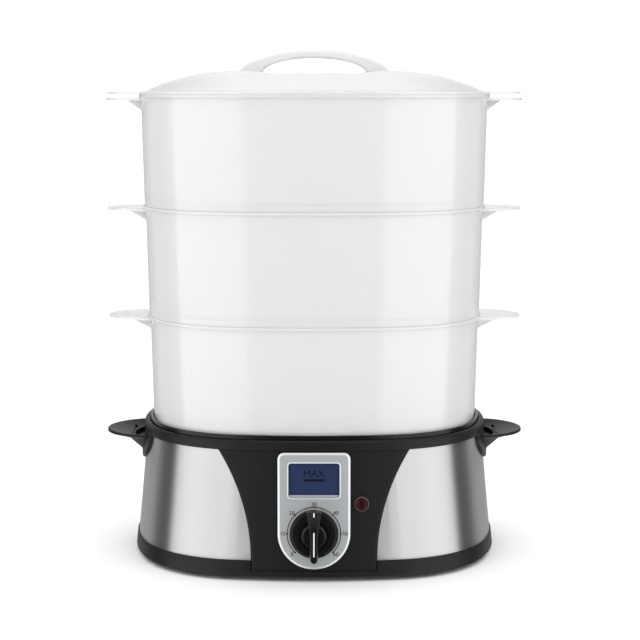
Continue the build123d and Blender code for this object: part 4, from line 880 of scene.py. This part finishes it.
class STEAMER_OT_lid(bpy.types.Operator):
    """Builds the domed lid with its arched grip"""

    bl_idname = "steamer.lid"
    bl_label = "Lid"

    def execute(self, context):
        lid = context.scene.steamer_lid
        bowl = context.scene.steamer_bowls
        half_w, half_d, _, _ = bowl_size(bowl, "bowl_3")
        dome = lid_dome(lid, half_w, half_d)
        ceiling = [(z - bowl.wall, w, d, grow - bowl.wall) for z, w, d, grow in reversed(dome[1:])]
        skirt = bowl.draft - bowl.wall - lid.fit
        skirt_in = skirt - bowl.floor_thick
        edge = [
            (RIM + lid.flange - bowl.wall, skirt_in),
            (RIM - bowl.foot_drop, skirt_in),
            (RIM - bowl.foot_drop, skirt),
            (RIM, skirt),
            (RIM, bowl.draft + bowl.bead),
            (RIM + lid.flange, bowl.draft + bowl.bead),
        ]
        edge = [(z, half_w, half_d, grow) for z, grow in edge]
        crown = RIM + lid.crown
        scales = [1 - place / CROWN_RINGS for place in range(1, CROWN_RINGS)]
        flat = [(crown, half_w, half_d, -lid.flat, scale) for scale in scales]
        roof = [(crown - bowl.wall, *level[1:]) for level in reversed(flat)]
        bm, rings = oval_sweep(roof + ceiling + edge + dome + flat)
        first = len(roof) + len(ceiling)
        # the skirt's lower edges, then the flange's rim
        for place in (first + 1, first + 2, first + 4, first + 5):
            soften(bm, rings[place], bowl.edge)
        self.sink_channel(bm, lid, crown, bowl.wall)
        material = frosted_plastic(context.scene.steamer_finish.frosted)
        made = to_object(bm, "lid_frosted", material)
        ears = bmesh.new()
        reach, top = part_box("lid")[1].x + lid.ear_more, RIM + lid.flange + lid.ear_rise
        add_ears(ears, bowl, half_w, bowl.draft, reach, top, ribs=False)
        combine(made, ears, "UNION", overlapping=True)
        arch = bmesh.new()
        add_arch(arch, lid)
        combine(made, arch, "UNION")
        vents = bmesh.new()
        for side in (-1, 1):
            hole = circle_points(lid.vent, side * lid.vent_out, PLAN_Y, 24)
            plate(vents, hole, RIM, crown + CUT)
        combine(made, vents, "DIFFERENCE")
        settle(made, "lid", "frosted_lid", "lid")
        return {"FINISHED"}

    @staticmethod
    def sink_channel(bm, lid, crown, wall):
        """Sinks a finger channel that runs from front to back under the grip."""
        for vert in bm.verts:
            way = (abs(vert.co.x) - lid.dip_half) / lid.dip_fade
            way = min(1.0, max(0.0, way))
            limit = crown - lid.dip_depth * (1 - way * way * (3 - 2 * way))
            # the outer skin lies above the ceiling or looks up
            upper = vert.co.z > crown - wall + 0.1 * MM or vert.normal.z > 0.3
            vert.co.z = min(vert.co.z, limit if upper else limit - wall)


# ---- base ----
def body_size(base, bowl, z):
    """Half width and half depth of the steel's outer face at a height."""
    half_w, half_d, _, _ = bowl_size(bowl, "bowl_1")
    low = (BODY_TOP - z) / (BODY_TOP - BODY_FOOT)
    wide = half_w + base.body_out_wide + base.flare_wide * low
    return wide, half_d + base.body_out_deep + base.flare_deep * low


def fascia_half(base, z):
    """Half width of the fascia at a height: upright at its foot, then a hollow curve."""
    if z <= BODY_FOOT:
        return base.fascia_low
    rise, run = BODY_TOP - BODY_FOOT, base.fascia_top - base.fascia_low
    radius = (rise**2 + run**2) / (2 * run)
    return base.fascia_low + radius - math.sqrt(radius**2 - (z - BODY_FOOT) ** 2)


def front_y(half_d, grow, x):
    """Depth of the front arc of an oval at a distance from the middle."""
    radius = FRONT_BOW * half_d
    return PLAN_Y - (half_d - radius) - math.sqrt((radius + grow) ** 2 - x**2)


def build_steel(base, bowl, material):
    """Steel shell round the body, open behind the fascia."""
    sizes = [(z, *body_size(base, bowl, z)) for z in (BODY_FOOT, BODY_TOP - base.slip)]
    profile = [(*sizes[0], 0.0), (*sizes[1], 0.0), (*sizes[1], -base.steel), (*sizes[0], -base.steel)]
    bm, _ = oval_sweep(profile, joined=True)
    made = to_object(bm, "steel_shell", material)
    opening = bmesh.new()
    high, low = BODY_TOP + CUT, BODY_FOOT - CUT
    heights = [BODY_FOOT + (high - BODY_FOOT) * step / 24 for step in range(25)]
    side = [(fascia_half(base, z), z) for z in heights]
    foot = [(-base.fascia_low, low), (base.fascia_low, low)]
    # deep enough for the front of the shell, and clear of its back
    rib(opening, foot + side + [(-x, z) for x, z in reversed(side)], PLAN_Y - 100 * MM, 120 * MM)
    combine(made, opening, "DIFFERENCE")
    settle(made, "base", "brushed_steel", "steel_wrap")


def build_fascia(base, bowl, material):
    """Black front: follows the body's curve, hollow sides, foot over the skirt."""
    bm = bmesh.new()
    bmesh.ops.create_grid(bm, x_segments=40, y_segments=36, size=1.0)
    for vert in bm.verts:
        across, way = vert.co.x, (vert.co.y + 1) / 2
        z = base.fascia_foot + (BODY_TOP - base.fascia_foot) * way
        x = across * (fascia_half(base, z) - base.slip)
        kick = base.fascia_kick * max(0.0, (BODY_FOOT - z) / (BODY_FOOT - base.fascia_foot))
        half_d = body_size(base, bowl, max(z, BODY_FOOT))[1]
        vert.co = (x, front_y(half_d, kick, x), z)
    rim = [edge for edge in bm.edges if edge.is_boundary]
    thicken(bm, bm.faces[:], (0, base.fascia_thick, 0))
    soften(bm, rim, base.fascia_round)
    piece = to_object(bm, "fascia_front", material)
    settle(piece, "base", "black_plastic", "front_fascia")


def build_collar(base, bowl, material):
    """Black ring round the bowl's seat, with a rounded upper edge and a ledge for the tray."""
    half_w, half_d, _, _ = bowl_size(bowl, "bowl_1")
    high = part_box("collar")[1].z
    ledge = BODY_TOP + base.collar_ledge
    profile = [
        (BODY_TOP, -base.collar_bore),
        (BODY_TOP, base.collar_out),
        (high, base.collar_out),
        (high, base.collar_mouth),
        (ledge, base.collar_mouth),
        (ledge, -base.collar_bore),
    ]
    levels = [(z, half_w, half_d, grow) for z, grow in profile]
    bm, rings = oval_sweep(levels, joined=True)
    soften(bm, rings[2], base.collar_round, segments=6)
    soften(bm, rings[3], base.mouth_round)
    soften(bm, rings[1], base.skirt_round)
    settle(to_object(bm, "collar_ring", material), "base", "black_plastic", "collar")


def leaf(reach, half_d, root, back, steps=48):
    """Half ellipse of a handle's plan, closed by a chord behind the steel's face."""
    points = [(back, -half_d), (back, half_d)]
    for step in range(steps + 1):
        turn = math.pi / 2 - math.pi * step / steps
        points.append((root + (reach - root) * math.cos(turn), half_d * math.sin(turn)))
    return points


def build_handle(base, bowl, handle, side, material):
    """Scooped handle: leaf-shaped rim, shallow dish, dark pocket with drain slots, and bracket."""
    half_w = body_size(base, bowl, BODY_TOP)[0]
    root, reach = half_w - handle.root, half_w + handle.out
    back = root - handle.chord_in
    rim = BODY_TOP - handle.rim_low
    lip_low, floor = rim - handle.lip, rim - handle.dish
    foot = BODY_TOP - handle.foot_drop
    foot_x = body_size(base, bowl, foot)[0] + handle.pad + handle.proud
    well_x = reach - handle.well_in
    wall, half_d = handle.wall, handle.half_depth
    inner_w, inner_d = reach - wall - handle.draw_wide, half_d - wall - handle.draw_deep
    sizes = [
        (foot_x, handle.foot_half, foot),
        (foot_x, handle.knee_half, BODY_TOP - handle.knee_drop),
        (reach - handle.web_in, handle.web_half, lip_low - handle.web_drop),
        (reach - wall / 2, half_d - wall / 2, lip_low),
        (reach, half_d, lip_low + handle.lip_slope),
        (reach, half_d, rim),
        (reach - wall, half_d - wall, rim),
        (inner_w, inner_d, floor),
        (well_x, handle.well_half, floor - handle.well_edge),
        (well_x - handle.well_draft, handle.well_half - handle.well_draft, rim - handle.well),
    ]
    bm = bmesh.new()
    loops = [[(x, y, z) for x, y in leaf(w, d, root, back)] for w, d, z in sizes]
    rings = loops_through(bm, loops)
    # ring and millimetres: foot, rim's two edges, pocket's edge, dish's floor and knee
    for place, radius in ((0, 2.0), (5, 0.7), (6, 0.7), (8, 0.5), (7, 0.8), (1, 1.5)):
        edges = [edge for edge in rings[place] if edge.is_valid and edge.is_manifold]
        edges = [edge for edge in edges if max(v.co.x for v in edge.verts) > back + MM / 2]
        soften(bm, edges, radius * MM)
    bmesh.ops.translate(bm, verts=bm.verts, vec=(0, PLAN_Y, 0))
    if side < 0:
        bmesh.ops.scale(bm, vec=(-1, 1, 1), verts=bm.verts)
    name = "handle_right" if side > 0 else "handle_left"
    made = to_object(bm, name, material)
    slots = bmesh.new()
    for place in (-1.5, -0.5, 0.5, 1.5):
        y = PLAN_Y + place * handle.slot_pitch
        size = handle.slot, handle.slot_long, handle.slot_round
        outline = rounded_rectangle(*size, side * (well_x + handle.slot_out), y, steps=3)
        plate(slots, outline, floor - handle.slot_deep, floor + 2 * CUT)
    combine(made, slots, "DIFFERENCE")
    settle(made, "base", "black_plastic")
    build_pad(base, bowl, handle, side, material, name + "_pad")


def build_pad(base, bowl, handle, side, material, name):
    """Half-moon pad under a handle, which hugs the steel."""
    bm = bmesh.new()
    bmesh.ops.create_grid(bm, x_segments=24, y_segments=20, size=1.0)
    for vert in bm.verts:
        across, turn = vert.co.x, (1 - vert.co.y) * math.pi / 4
        z = BODY_TOP - handle.pad_drop * math.sin(turn)
        y = across * handle.pad_half * max(math.cos(turn), 0.01)  # its tip stays open
        half_w = body_size(base, bowl, z)[0]
        vert.co = (side * wall_x(half_w, handle.pad, y), PLAN_Y + y, z)
    rim = [edge for edge in bm.edges if edge.is_boundary]
    thicken(bm, bm.faces[:], (-side * (handle.pad + handle.pad_sunk), 0, 0))
    soften(bm, rim, handle.pad_round)
    settle(to_object(bm, name, material), "base", "black_plastic")


def rounded_copy(node, radius, material, body, slot):
    """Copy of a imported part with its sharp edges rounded, shown in place of that part."""
    bm = bmesh.new()
    bm.from_mesh(frame["nodes"][node].data)
    bmesh.ops.remove_doubles(bm, verts=bm.verts, dist=1e-6)
    bmesh.ops.dissolve_limit(
        bm, angle_limit=math.radians(0.5), verts=bm.verts, edges=bm.edges, use_dissolve_boundaries=False
    )
    sharp = [edge for edge in bm.edges if edge.is_manifold and edge.calc_face_angle(0) > SHARP]
    soften(bm, sharp, radius, segments=2)
    settle(to_object(bm, node + "_moulded", material), body, slot, node)


class STEAMER_OT_collar(bpy.types.Operator):
    """Builds the collar, the two handles and the moulded parts round the foot"""

    bl_idname = "steamer.collar"
    bl_label = "Collar and handles"

    def execute(self, context):
        scene = context.scene
        base, bowl, handle = scene.steamer_base, scene.steamer_bowls, scene.steamer_handles
        black = black_plastic(scene.steamer_finish.black)
        gloss = gloss_plastic(scene.steamer_finish.black)
        build_collar(base, bowl, black)
        for side in (-1, 1):
            build_handle(base, bowl, handle, side, black)
        rounded_copy("drip_tray", base.tray_round, gloss, "drip_tray", "black_plastic")
        rounded_copy("bottom_cover", base.cover_round, black, "base", "black_plastic")
        rounded_copy("water_tank", base.tank_round, black, "base", "black_plastic")
        return {"FINISHED"}


class STEAMER_OT_body(bpy.types.Operator):
    """Builds the steel shell and the black fascia"""

    bl_idname = "steamer.body"
    bl_label = "Body"

    def execute(self, context):
        base = context.scene.steamer_base
        bowl = context.scene.steamer_bowls
        finish = context.scene.steamer_finish
        build_steel(base, bowl, brushed_steel(finish.steel))
        build_fascia(base, bowl, black_plastic(finish.black))
        return {"FINISHED"}


# ---- control panel ----
def on_panel(bm):
    """Carries a mesh drawn about the dial's centre onto the leaning front."""
    bmesh.ops.transform(bm, matrix=PANEL, verts=bm.verts)


def bezel_outline(panel):
    """Outline of the bezel: round foot about the dial, square shoulders."""
    half, top, corner = panel.half_wide, panel.up, panel.corner
    points = []
    for step in range(49):
        turn = math.pi + math.pi * step / 48
        points.append((half * math.cos(turn), half * math.sin(turn)))
    for start, cx in ((0, half - corner), (1, corner - half)):
        for step in range(9):
            turn = (start + step / 8) * math.pi / 2
            points.append((cx + corner * math.cos(turn), top - corner + corner * math.sin(turn)))
    return points


def build_bezel(panel, material, bright):
    """Silver plate with a chamfered border and a raised frame round the window, both painted paler as a
    highlight, and a sill.
    """
    bm = bmesh.new()
    plate(bm, bezel_outline(panel), -panel.sunk, panel.proud - panel.chamfer)
    top = max(bm.faces, key=lambda face: face.calc_center_median().z + face.calc_area())
    border = bmesh.ops.inset_region(bm, faces=[top], thickness=panel.border, depth=panel.chamfer)
    # the chamfered border takes the paler silver: a painted highlight
    for face in border["faces"]:
        face.material_index = 1
    soften(bm, top.edges[:], panel.face_round, segments=2)
    piece = to_object(bm, "bezel_silver", material)
    piece.data.materials.append(bright)
    wide, high, corner = panel.window_wide, panel.window_high + panel.sill, panel.window_corner
    middle, lip = panel.window_up - panel.sill / 2, panel.lip
    outer = rounded_rectangle(wide + 2 * lip, high + 2 * lip, corner + lip, 0, middle)
    low, top = panel.proud - panel.lip_sunk, panel.proud + panel.lip_proud
    bm = bmesh.new()
    plate(bm, outer, low, top, edge=panel.lip_round)
    # the frame round the window is painted in the paler silver too: a painted highlight
    rim = to_object(bm, "window_frame", bright)
    for made in (piece, rim):
        opening = bmesh.new()
        plate(opening, rounded_rectangle(wide, high, corner, 0, middle), *PANEL_CUT)
        combine(made, opening, "DIFFERENCE")
    size = wide - 2 * panel.fit, panel.sill + panel.sill_more, panel.sill_deep
    bm = bmesh.new()
    step = rounded_rectangle(*size, 0, middle - panel.window_high / 2)
    plate(bm, step, -panel.sunk, panel.proud - panel.sill_deep)
    sill = to_object(bm, "window_sill", material)
    for made in (piece, rim, sill):
        made.data.transform(PANEL)
        settle(made, "base", "silver_paint")
    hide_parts("control_bezel")


def build_window(panel, glass, ink):
    """Tinted window with its level mark."""
    bm = bmesh.new()
    wide, high = panel.window_wide - 2 * panel.fit, panel.window_high - 2 * panel.fit
    pane = rounded_rectangle(wide, high, panel.glass_corner, 0, panel.window_up)
    face = panel.proud - panel.window_deep
    plate(bm, pane, -panel.glass_back, face, edge=panel.glass_round)
    on_panel(bm)
    settle(to_object(bm, "window_tinted", glass), "base", "blue_window", "level_window")
    mark = bmesh.new()
    add_text(mark, "MAX", panel.mark_size, 0, panel.window_up + panel.mark_up, face)
    size = panel.bar_long, panel.bar_high, panel.bar_round
    plate(mark, rounded_rectangle(*size, 0, panel.window_up - panel.bar_down), face, face + PRINT)
    on_panel(mark)
    settle(to_object(mark, "level_mark", ink), "base", "blue_window")


def add_text(bm, text, size, x, y, z, bold=0.0):
    """Adds flat raised lettering centred at a place on the panel."""
    curve = bpy.data.curves.new("lettering", "FONT")
    curve.body = text
    curve.size = size
    curve.offset = bold * size
    curve.extrude = PRINT / 2
    curve.align_x = "CENTER"
    curve.align_y = "CENTER"
    holder = bpy.data.objects.new("lettering", curve)
    mesh = bpy.data.meshes.new_from_object(holder)
    mesh.transform(Matrix.Translation((x, y, z + PRINT_LIFT)))
    bm.from_mesh(mesh)
    bpy.data.meshes.remove(mesh)
    bpy.data.objects.remove(holder)
    bpy.data.curves.remove(curve)


def build_scale(panel, ink):
    """Printed dial: an open ring with a dot and a number at each ten minutes."""
    bm = bmesh.new()
    face = panel.proud
    steps = 72
    turns = [math.radians(-45 + 270 * step / steps) for step in range(steps + 1)]
    outer, inner = panel.scale_radius + panel.scale_line, panel.scale_radius - panel.scale_line
    outline = [(outer * math.cos(t), outer * math.sin(t)) for t in turns]
    outline += [(inner * math.cos(t), inner * math.sin(t)) for t in reversed(turns)]
    plate(bm, outline, face, face + PRINT)
    for mark in range(7):
        turn = math.radians(225 - 45 * mark)
        c, s = math.cos(turn), math.sin(turn)
        dot = circle_points(panel.dot_radius, panel.scale_radius * c, panel.scale_radius * s, 20)
        plate(bm, dot, face, face + 1.2 * PRINT)  # just above the line's top face
        place = panel.number_wide * c, panel.number_up * s, face
        add_text(bm, str(10 * mark), panel.number_high, *place, bold=0.004)
    on_panel(bm)
    settle(to_object(bm, "dial_scale", ink), "base", "silver_paint")


def build_lamp(panel, glass, trim):
    """Red lens in a thin ring on the fascia."""
    radius, rim, rise = panel.lamp_radius, panel.lens_rim, panel.lens_rise
    dome = [(radius * math.cos(t), rim + rise * math.sin(t)) for t in (0.3, 0.6, 0.9, 1.2, 1.4)]
    profile = [(0, -panel.lens_back), (radius, -panel.lens_back), (radius, rim), *dome]
    lens = bmesh.new()
    revolve(lens, [*profile, (0, rim + rise)], 64, panel.lamp_x, panel.lamp_up)
    on_panel(lens)
    settle(to_object(lens, "lamp_lens", glass), "base", "red_lens", "indicator_lens")
    inner, outer = radius + panel.lamp_play, panel.lamp_ring
    low, top = -panel.ring_sunk, panel.ring_proud
    profile = [
        (inner, low),
        (outer, low),
        (outer, top - panel.ring_slope),
        (outer - panel.ring_taper, top),
        (inner, top),
        (inner, low),
    ]
    ring = bmesh.new()
    revolve(ring, profile, 64, panel.lamp_x, panel.lamp_up)
    on_panel(ring)
    settle(to_object(ring, "lamp_trim", trim), "base", "silver_paint", "lamp_ring")


class STEAMER_OT_panel(bpy.types.Operator):
    """Builds the control panel: bezel, water window, dial print and lamp"""

    bl_idname = "steamer.panel"
    bl_label = "Control panel"

    def execute(self, context):
        panel = context.scene.steamer_panel
        finish = context.scene.steamer_finish
        silver = silver_lacquer(finish.silver)
        build_bezel(panel, silver, painted_highlight_silver(finish.bright))
        build_window(panel, tinted_window(finish.window), print_ink("dark_ink", finish.print_dark))
        build_scale(panel, print_ink("dial_ink", finish.print_dark))
        build_lamp(panel, red_lens(finish.lens), plain("lamp_trim", "#5A4A4B", 0.4))
        return {"FINISHED"}


# millimetres in from the disc's side and down from its top, round the stepped rim
KNOB_RIM = ((0, 2.4), (0.3, 2), (0.8, 1.8), (1.4, 1.8), (1.5, 0.6), (1.8, 0.15), (2.4, 0))


class STEAMER_OT_knob(bpy.types.Operator):
    """Builds the timer knob with its bar grip and marks"""

    bl_idname = "steamer.knob"
    bl_label = "Timer knob"

    def execute(self, context):
        knob = context.scene.steamer_knob
        finish = context.scene.steamer_finish
        low = context.scene.steamer_panel.proud + knob.gap
        black = gloss_plastic(finish.black)
        bm = bmesh.new()
        revolve(bm, self.disc_profile(knob, low), 128)
        on_panel(bm)
        disc = to_object(bm, "knob_disc", black)
        settle(disc, "timer_knob", "black_plastic", "timer_knob")
        grip = bmesh.new()
        loops_through(grip, self.grip_sections(knob, low))
        on_panel(grip)
        settle(to_object(grip, "knob_grip", black), "timer_knob", "black_plastic")
        marks = bmesh.new()
        crest = low + knob.grip
        size = knob.line_wide, knob.line_long, knob.line_round
        plate(marks, rounded_rectangle(*size, 0, -knob.line_down), crest - PRINT, crest + PRINT)
        half = knob.tip_half
        sections = []
        for y in (knob.radius - knob.tip_start, knob.radius - knob.tip_end):
            z = self.crest_height(knob, low, y) + 0.8 * PRINT
            under = z - 2 * PRINT
            sections.append([(-half, y, under), (half, y, under), (half, y, z), (-half, y, z)])
        loops_through(marks, sections)
        on_panel(marks)
        ink = print_ink("white_ink", finish.print_white)
        settle(to_object(marks, "knob_marks", ink), "timer_knob", "black_plastic")
        return {"FINISHED"}

    @staticmethod
    def disc_profile(knob, low):
        """Profile of the disc: stepped rim, groove and hub."""
        top, floor, high = low + knob.disc, low + knob.groove_floor, low + knob.hub
        groove = knob.hub_radius + knob.groove
        return [
            (0, low),
            (knob.radius, low),
            *[(knob.radius - inward * MM, top - down * MM) for inward, down in KNOB_RIM],
            (groove, top),
            (groove, floor),
            (knob.hub_radius, floor),
            (knob.hub_radius, high - knob.hub_edge),
            (knob.hub_radius - knob.hub_edge, high),
            (0, high),
        ]

    @staticmethod
    def crest_height(knob, low, y):
        """Height of the grip's crest: level, then falling towards the pointer's end."""
        way = max(0.0, (y - knob.ramp_start) / (knob.radius - knob.ramp_start))
        return low + knob.grip - (knob.grip - knob.ramp_end) * way**RAMP_EASE

    def grip_sections(self, knob, low):
        """Sections of the grip along its length, from its round lower end to its flared upper end."""
        foot, start = low + knob.grip_foot, -knob.grip_reach
        span = knob.radius - knob.grip_in - start
        sections = []
        steps = 60
        for step in range(steps + 1):
            y = start + span * step / steps
            into_end = max(0.0, knob.grip_half - (y - start)) / knob.grip_half
            # round in plan; the very end keeps a little width
            half = knob.grip_half * math.sqrt(max(0.004, 1 - into_end**2))
            flare = max(0.0, (y + knob.flare_start) / (knob.radius + knob.flare_start))
            half += (knob.grip_flare - knob.grip_half) * flare**FLARE_EASE
            top = self.crest_height(knob, low, y) - knob.grip_droop * into_end**3
            edge = min(knob.grip_round, half * 0.6)
            right = [(half + knob.grip_lean, foot)]
            for turn in (0.15, 0.5, 0.85, 1.2, 1.5):
                x = half - edge + edge * math.cos(turn)
                right.append((x, top - edge + edge * math.sin(turn)))
            left = [(-x, z) for x, z in reversed(right)]
            sections.append([(x, y, z) for x, z in right + left])
        return sections


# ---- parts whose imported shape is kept: name, colour, roughness and metallic of each slot ----
KEPT = {
    "black_plastic": ("kept_abs", "#0D0D0E", 0.38, 0.0),  # moulded ABS, satin black
    "silver_paint": ("kept_lacquer", "#A6AAAD", 0.35, 0.7),  # sprayed lacquer, soft silver
    "brushed_steel": ("kept_stainless", "#C4C4C6", 0.3, 1.0),  # stainless sheet, pale grey sheen
    "blue_window": ("kept_tinted", "#2B3A63", 0.1, 0.0),  # polycarbonate, deep blue gloss
    "red_lens": ("kept_red", "#4A0A14", 0.1, 0.0),  # polycarbonate, dark red gloss
    "clear_glass": ("lamp_glass", "#E8E2DA", 0.05, 0.0),  # blown glass, pale and sharp
    "rubber": ("foot_rubber", "#232323", 0.8, 0.0),  # moulded rubber, dull dark grey
    "silicone": ("seal_silicone", "#D8D6CE", 0.6, 0.0),  # moulded silicone, soft ivory
    "plain_steel": ("plain_steel", "#B9B9BB", 0.25, 1.0),  # zinc-plated steel, bright
    "aluminium": ("cast_aluminium", "#BDBDC0", 0.4, 1.0),  # cast aluminium, soft grey sheen
    "white_plastic": ("white_nylon", "#E4E2DA", 0.5, 0.0),  # moulded nylon, warm white
    "frosted_plastic": ("kept_frosted", "#F1F3F3", 0.4, 0.0),  # polypropylene, milky white
    "frosted_lid": ("kept_frosted_lid", "#F1F3F3", 0.4, 0.0),  # polypropylene, milky white
}


class STEAMER_OT_kept(bpy.types.Operator):
    """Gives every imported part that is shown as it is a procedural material"""

    bl_idname = "steamer.kept"
    bl_label = "Kept parts"

    def execute(self, context):
        made = {}
        for node in frame["nodes"].values():
            own = node.data.materials
            slot = own[0].name.split(".")[0] if own else "black_plastic"
            slot = slot if slot in KEPT else "black_plastic"
            if slot not in made:
                name, code, rough, metallic = KEPT[slot]
                made[slot] = plain(name, code, rough, metallic)
            own.clear()
            own.append(made[slot])
        return {"FINISHED"}


# ---- stage ----
def mirrored_only(tree):
    """Output that is one for light seen by reflection, and nought for light seen through."""
    path = add_node(tree, "ShaderNodeLightPath").outputs
    rays = {0: path["Is Glossy Ray"], 1: path["Is Transmission Ray"]}
    mirrored = add_node(tree, "ShaderNodeMath", rays, operation="SUBTRACT", use_clamp=True)
    return mirrored.outputs["Value"]


class STEAMER_OT_stage(bpy.types.Operator):
    """Builds the floor, lights and camera"""

    bl_idname = "steamer.stage"
    bl_label = "Stage"

    def execute(self, context):
        stage = context.scene.steamer_stage
        scene = context.scene
        scene.view_settings.view_transform = "Standard"
        floor = bmesh.new()
        bmesh.ops.create_grid(floor, x_segments=2, y_segments=2, size=stage.floor_half)
        to_object(floor, "floor", self.floor_white())
        above = bpy.data.lights.new("overhead", "AREA")
        above.size = stage.top_wide
        above.energy = stage.top_power
        holder = bpy.data.objects.new("overhead", above)
        holder.location = (0, PLAN_Y - stage.top_front, stage.top_height)
        scene.collection.objects.link(holder)
        self.make_world(scene, stage)
        camera = bpy.data.cameras.new("camera")
        camera.lens = stage.lens
        camera.sensor_width = stage.sensor
        view = bpy.data.objects.new("camera", camera)
        view.location = (stage.camera_x, PLAN_Y - stage.camera_back, stage.camera_height)
        view.rotation_euler = (stage.camera_tilt, 0, 0)
        scene.collection.objects.link(view)
        scene.camera = view
        return {"FINISHED"}

    @staticmethod
    def floor_white():
        """Matt white paper, which gloss looks through, so the room's bands reach down the part."""
        values = {"Roughness": 1.0, "Specular IOR Level": 0.0}
        material, tree, shader = new_material("white_paper", rgb("#FBFBFB"), values)
        clear = add_node(tree, "ShaderNodeBsdfTransparent")
        layers = {"Fac": mirrored_only(tree), 1: shader.outputs["BSDF"], 2: clear.outputs["BSDF"]}
        mix = add_node(tree, "ShaderNodeMixShader", layers)
        feed(tree, tree.nodes["Material Output"], {"Surface": mix.outputs["Shader"]})
        return material

    @staticmethod
    def make_world(scene, stage):
        """White studio; in gloss it is a dim room with upright softboxes and a light ceiling."""
        world = bpy.data.worlds.new("studio")
        scene.world = world
        world.use_nodes = True
        tree = world.node_tree
        tree.nodes.clear()
        place = add_node(tree, "ShaderNodeTexCoord").outputs["Generated"]
        parts = add_node(tree, "ShaderNodeSeparateXYZ", {"Vector": place}).outputs
        across = add_node(tree, "ShaderNodeMath", {0: parts["X"]}, operation="ABSOLUTE")
        along = add_node(tree, "ShaderNodeMath", {0: parts["Y"], 1: -1.0}, operation="MULTIPLY")
        sides = {0: across.outputs["Value"], 1: along.outputs["Value"]}
        turn = add_node(tree, "ShaderNodeMath", sides, operation="ARCTAN2").outputs["Value"]
        dim, light, side = stage.room_mirrored, stage.band_light, stage.side_light
        gain = light * stage.band_gain
        level = dim
        for start, end, change in (
            (stage.band_start - stage.band_edge, stage.band_start, light - dim),
            (stage.gain_start, stage.gain_end, gain),
            (stage.band_end, stage.band_end + stage.band_fade, dim - light - gain),
            (stage.side_start, stage.side_end, side - dim),
            (stage.back_start, stage.back_end, stage.back_light - side),
        ):
            limits = {"From Min": start, "From Max": end, "To Min": 0.0, "To Max": change}
            step = add_node(
                tree,
                "ShaderNodeMapRange",
                {"Value": turn, **limits},
                interpolation_type="SMOOTHSTEP",
            )
            both = {0: step.outputs["Result"], 1: level}
            level = add_node(tree, "ShaderNodeMath", both, operation="ADD").outputs["Value"]
        limits = {"From Min": stage.ceiling_low, "From Max": stage.ceiling_high}
        ceiling = add_node(tree, "ShaderNodeMapRange", {"Value": parts["Z"], **limits})
        shades = {"Factor": ceiling.outputs["Result"], "A": level, "B": stage.back_light}
        shade = add_node(tree, "ShaderNodeMix", shades, data_type="FLOAT").outputs["Result"]
        white = {"Color": (1, 1, 1, 1)}
        bright = add_node(tree, "ShaderNodeBackground", {**white, "Strength": stage.room_light})
        room = add_node(tree, "ShaderNodeBackground", {**white, "Strength": shade})
        layers = {
            "Fac": mirrored_only(tree),
            1: bright.outputs["Background"],
            2: room.outputs["Background"],
        }
        mix = add_node(tree, "ShaderNodeMixShader", layers)
        add_node(tree, "ShaderNodeOutputWorld", {"Surface": mix.outputs["Shader"]})


OPERATORS = [
    STEAMER_OT_kept,
    STEAMER_OT_bowls,
    STEAMER_OT_lid,
    STEAMER_OT_body,
    STEAMER_OT_collar,
    STEAMER_OT_panel,
    STEAMER_OT_knob,
    STEAMER_OT_stage,
]


class STEAMER_PT_build(bpy.types.Panel):
    """Lists the steps that build the steamer."""

    bl_idname = "STEAMER_PT_build"
    bl_label = "Electric food steamer"
    bl_space_type = "VIEW_3D"
    bl_region_type = "UI"
    bl_category = "Steamer"

    def draw(self, context):
        for operator in OPERATORS:
            self.layout.operator(operator.bl_idname)


def register():
    """Adds the settings, the operators and the panel."""
    for kind in (*SETTINGS.values(), *OPERATORS, STEAMER_PT_build):
        bpy.utils.register_class(kind)
    for name, kind in SETTINGS.items():
        setattr(bpy.types.Scene, name, PointerProperty(type=kind))


def unregister():
    """Takes them out again."""
    for name in SETTINGS:
        delattr(bpy.types.Scene, name)
    for kind in reversed((*SETTINGS.values(), *OPERATORS, STEAMER_PT_build)):
        bpy.utils.unregister_class(kind)


def main():
    """Builds every piece and the stage."""
    register()
    for operator in OPERATORS:
        group, name = operator.bl_idname.split(".")
        getattr(getattr(bpy.ops, group), name)()


if __name__ == "__main__":
    main()
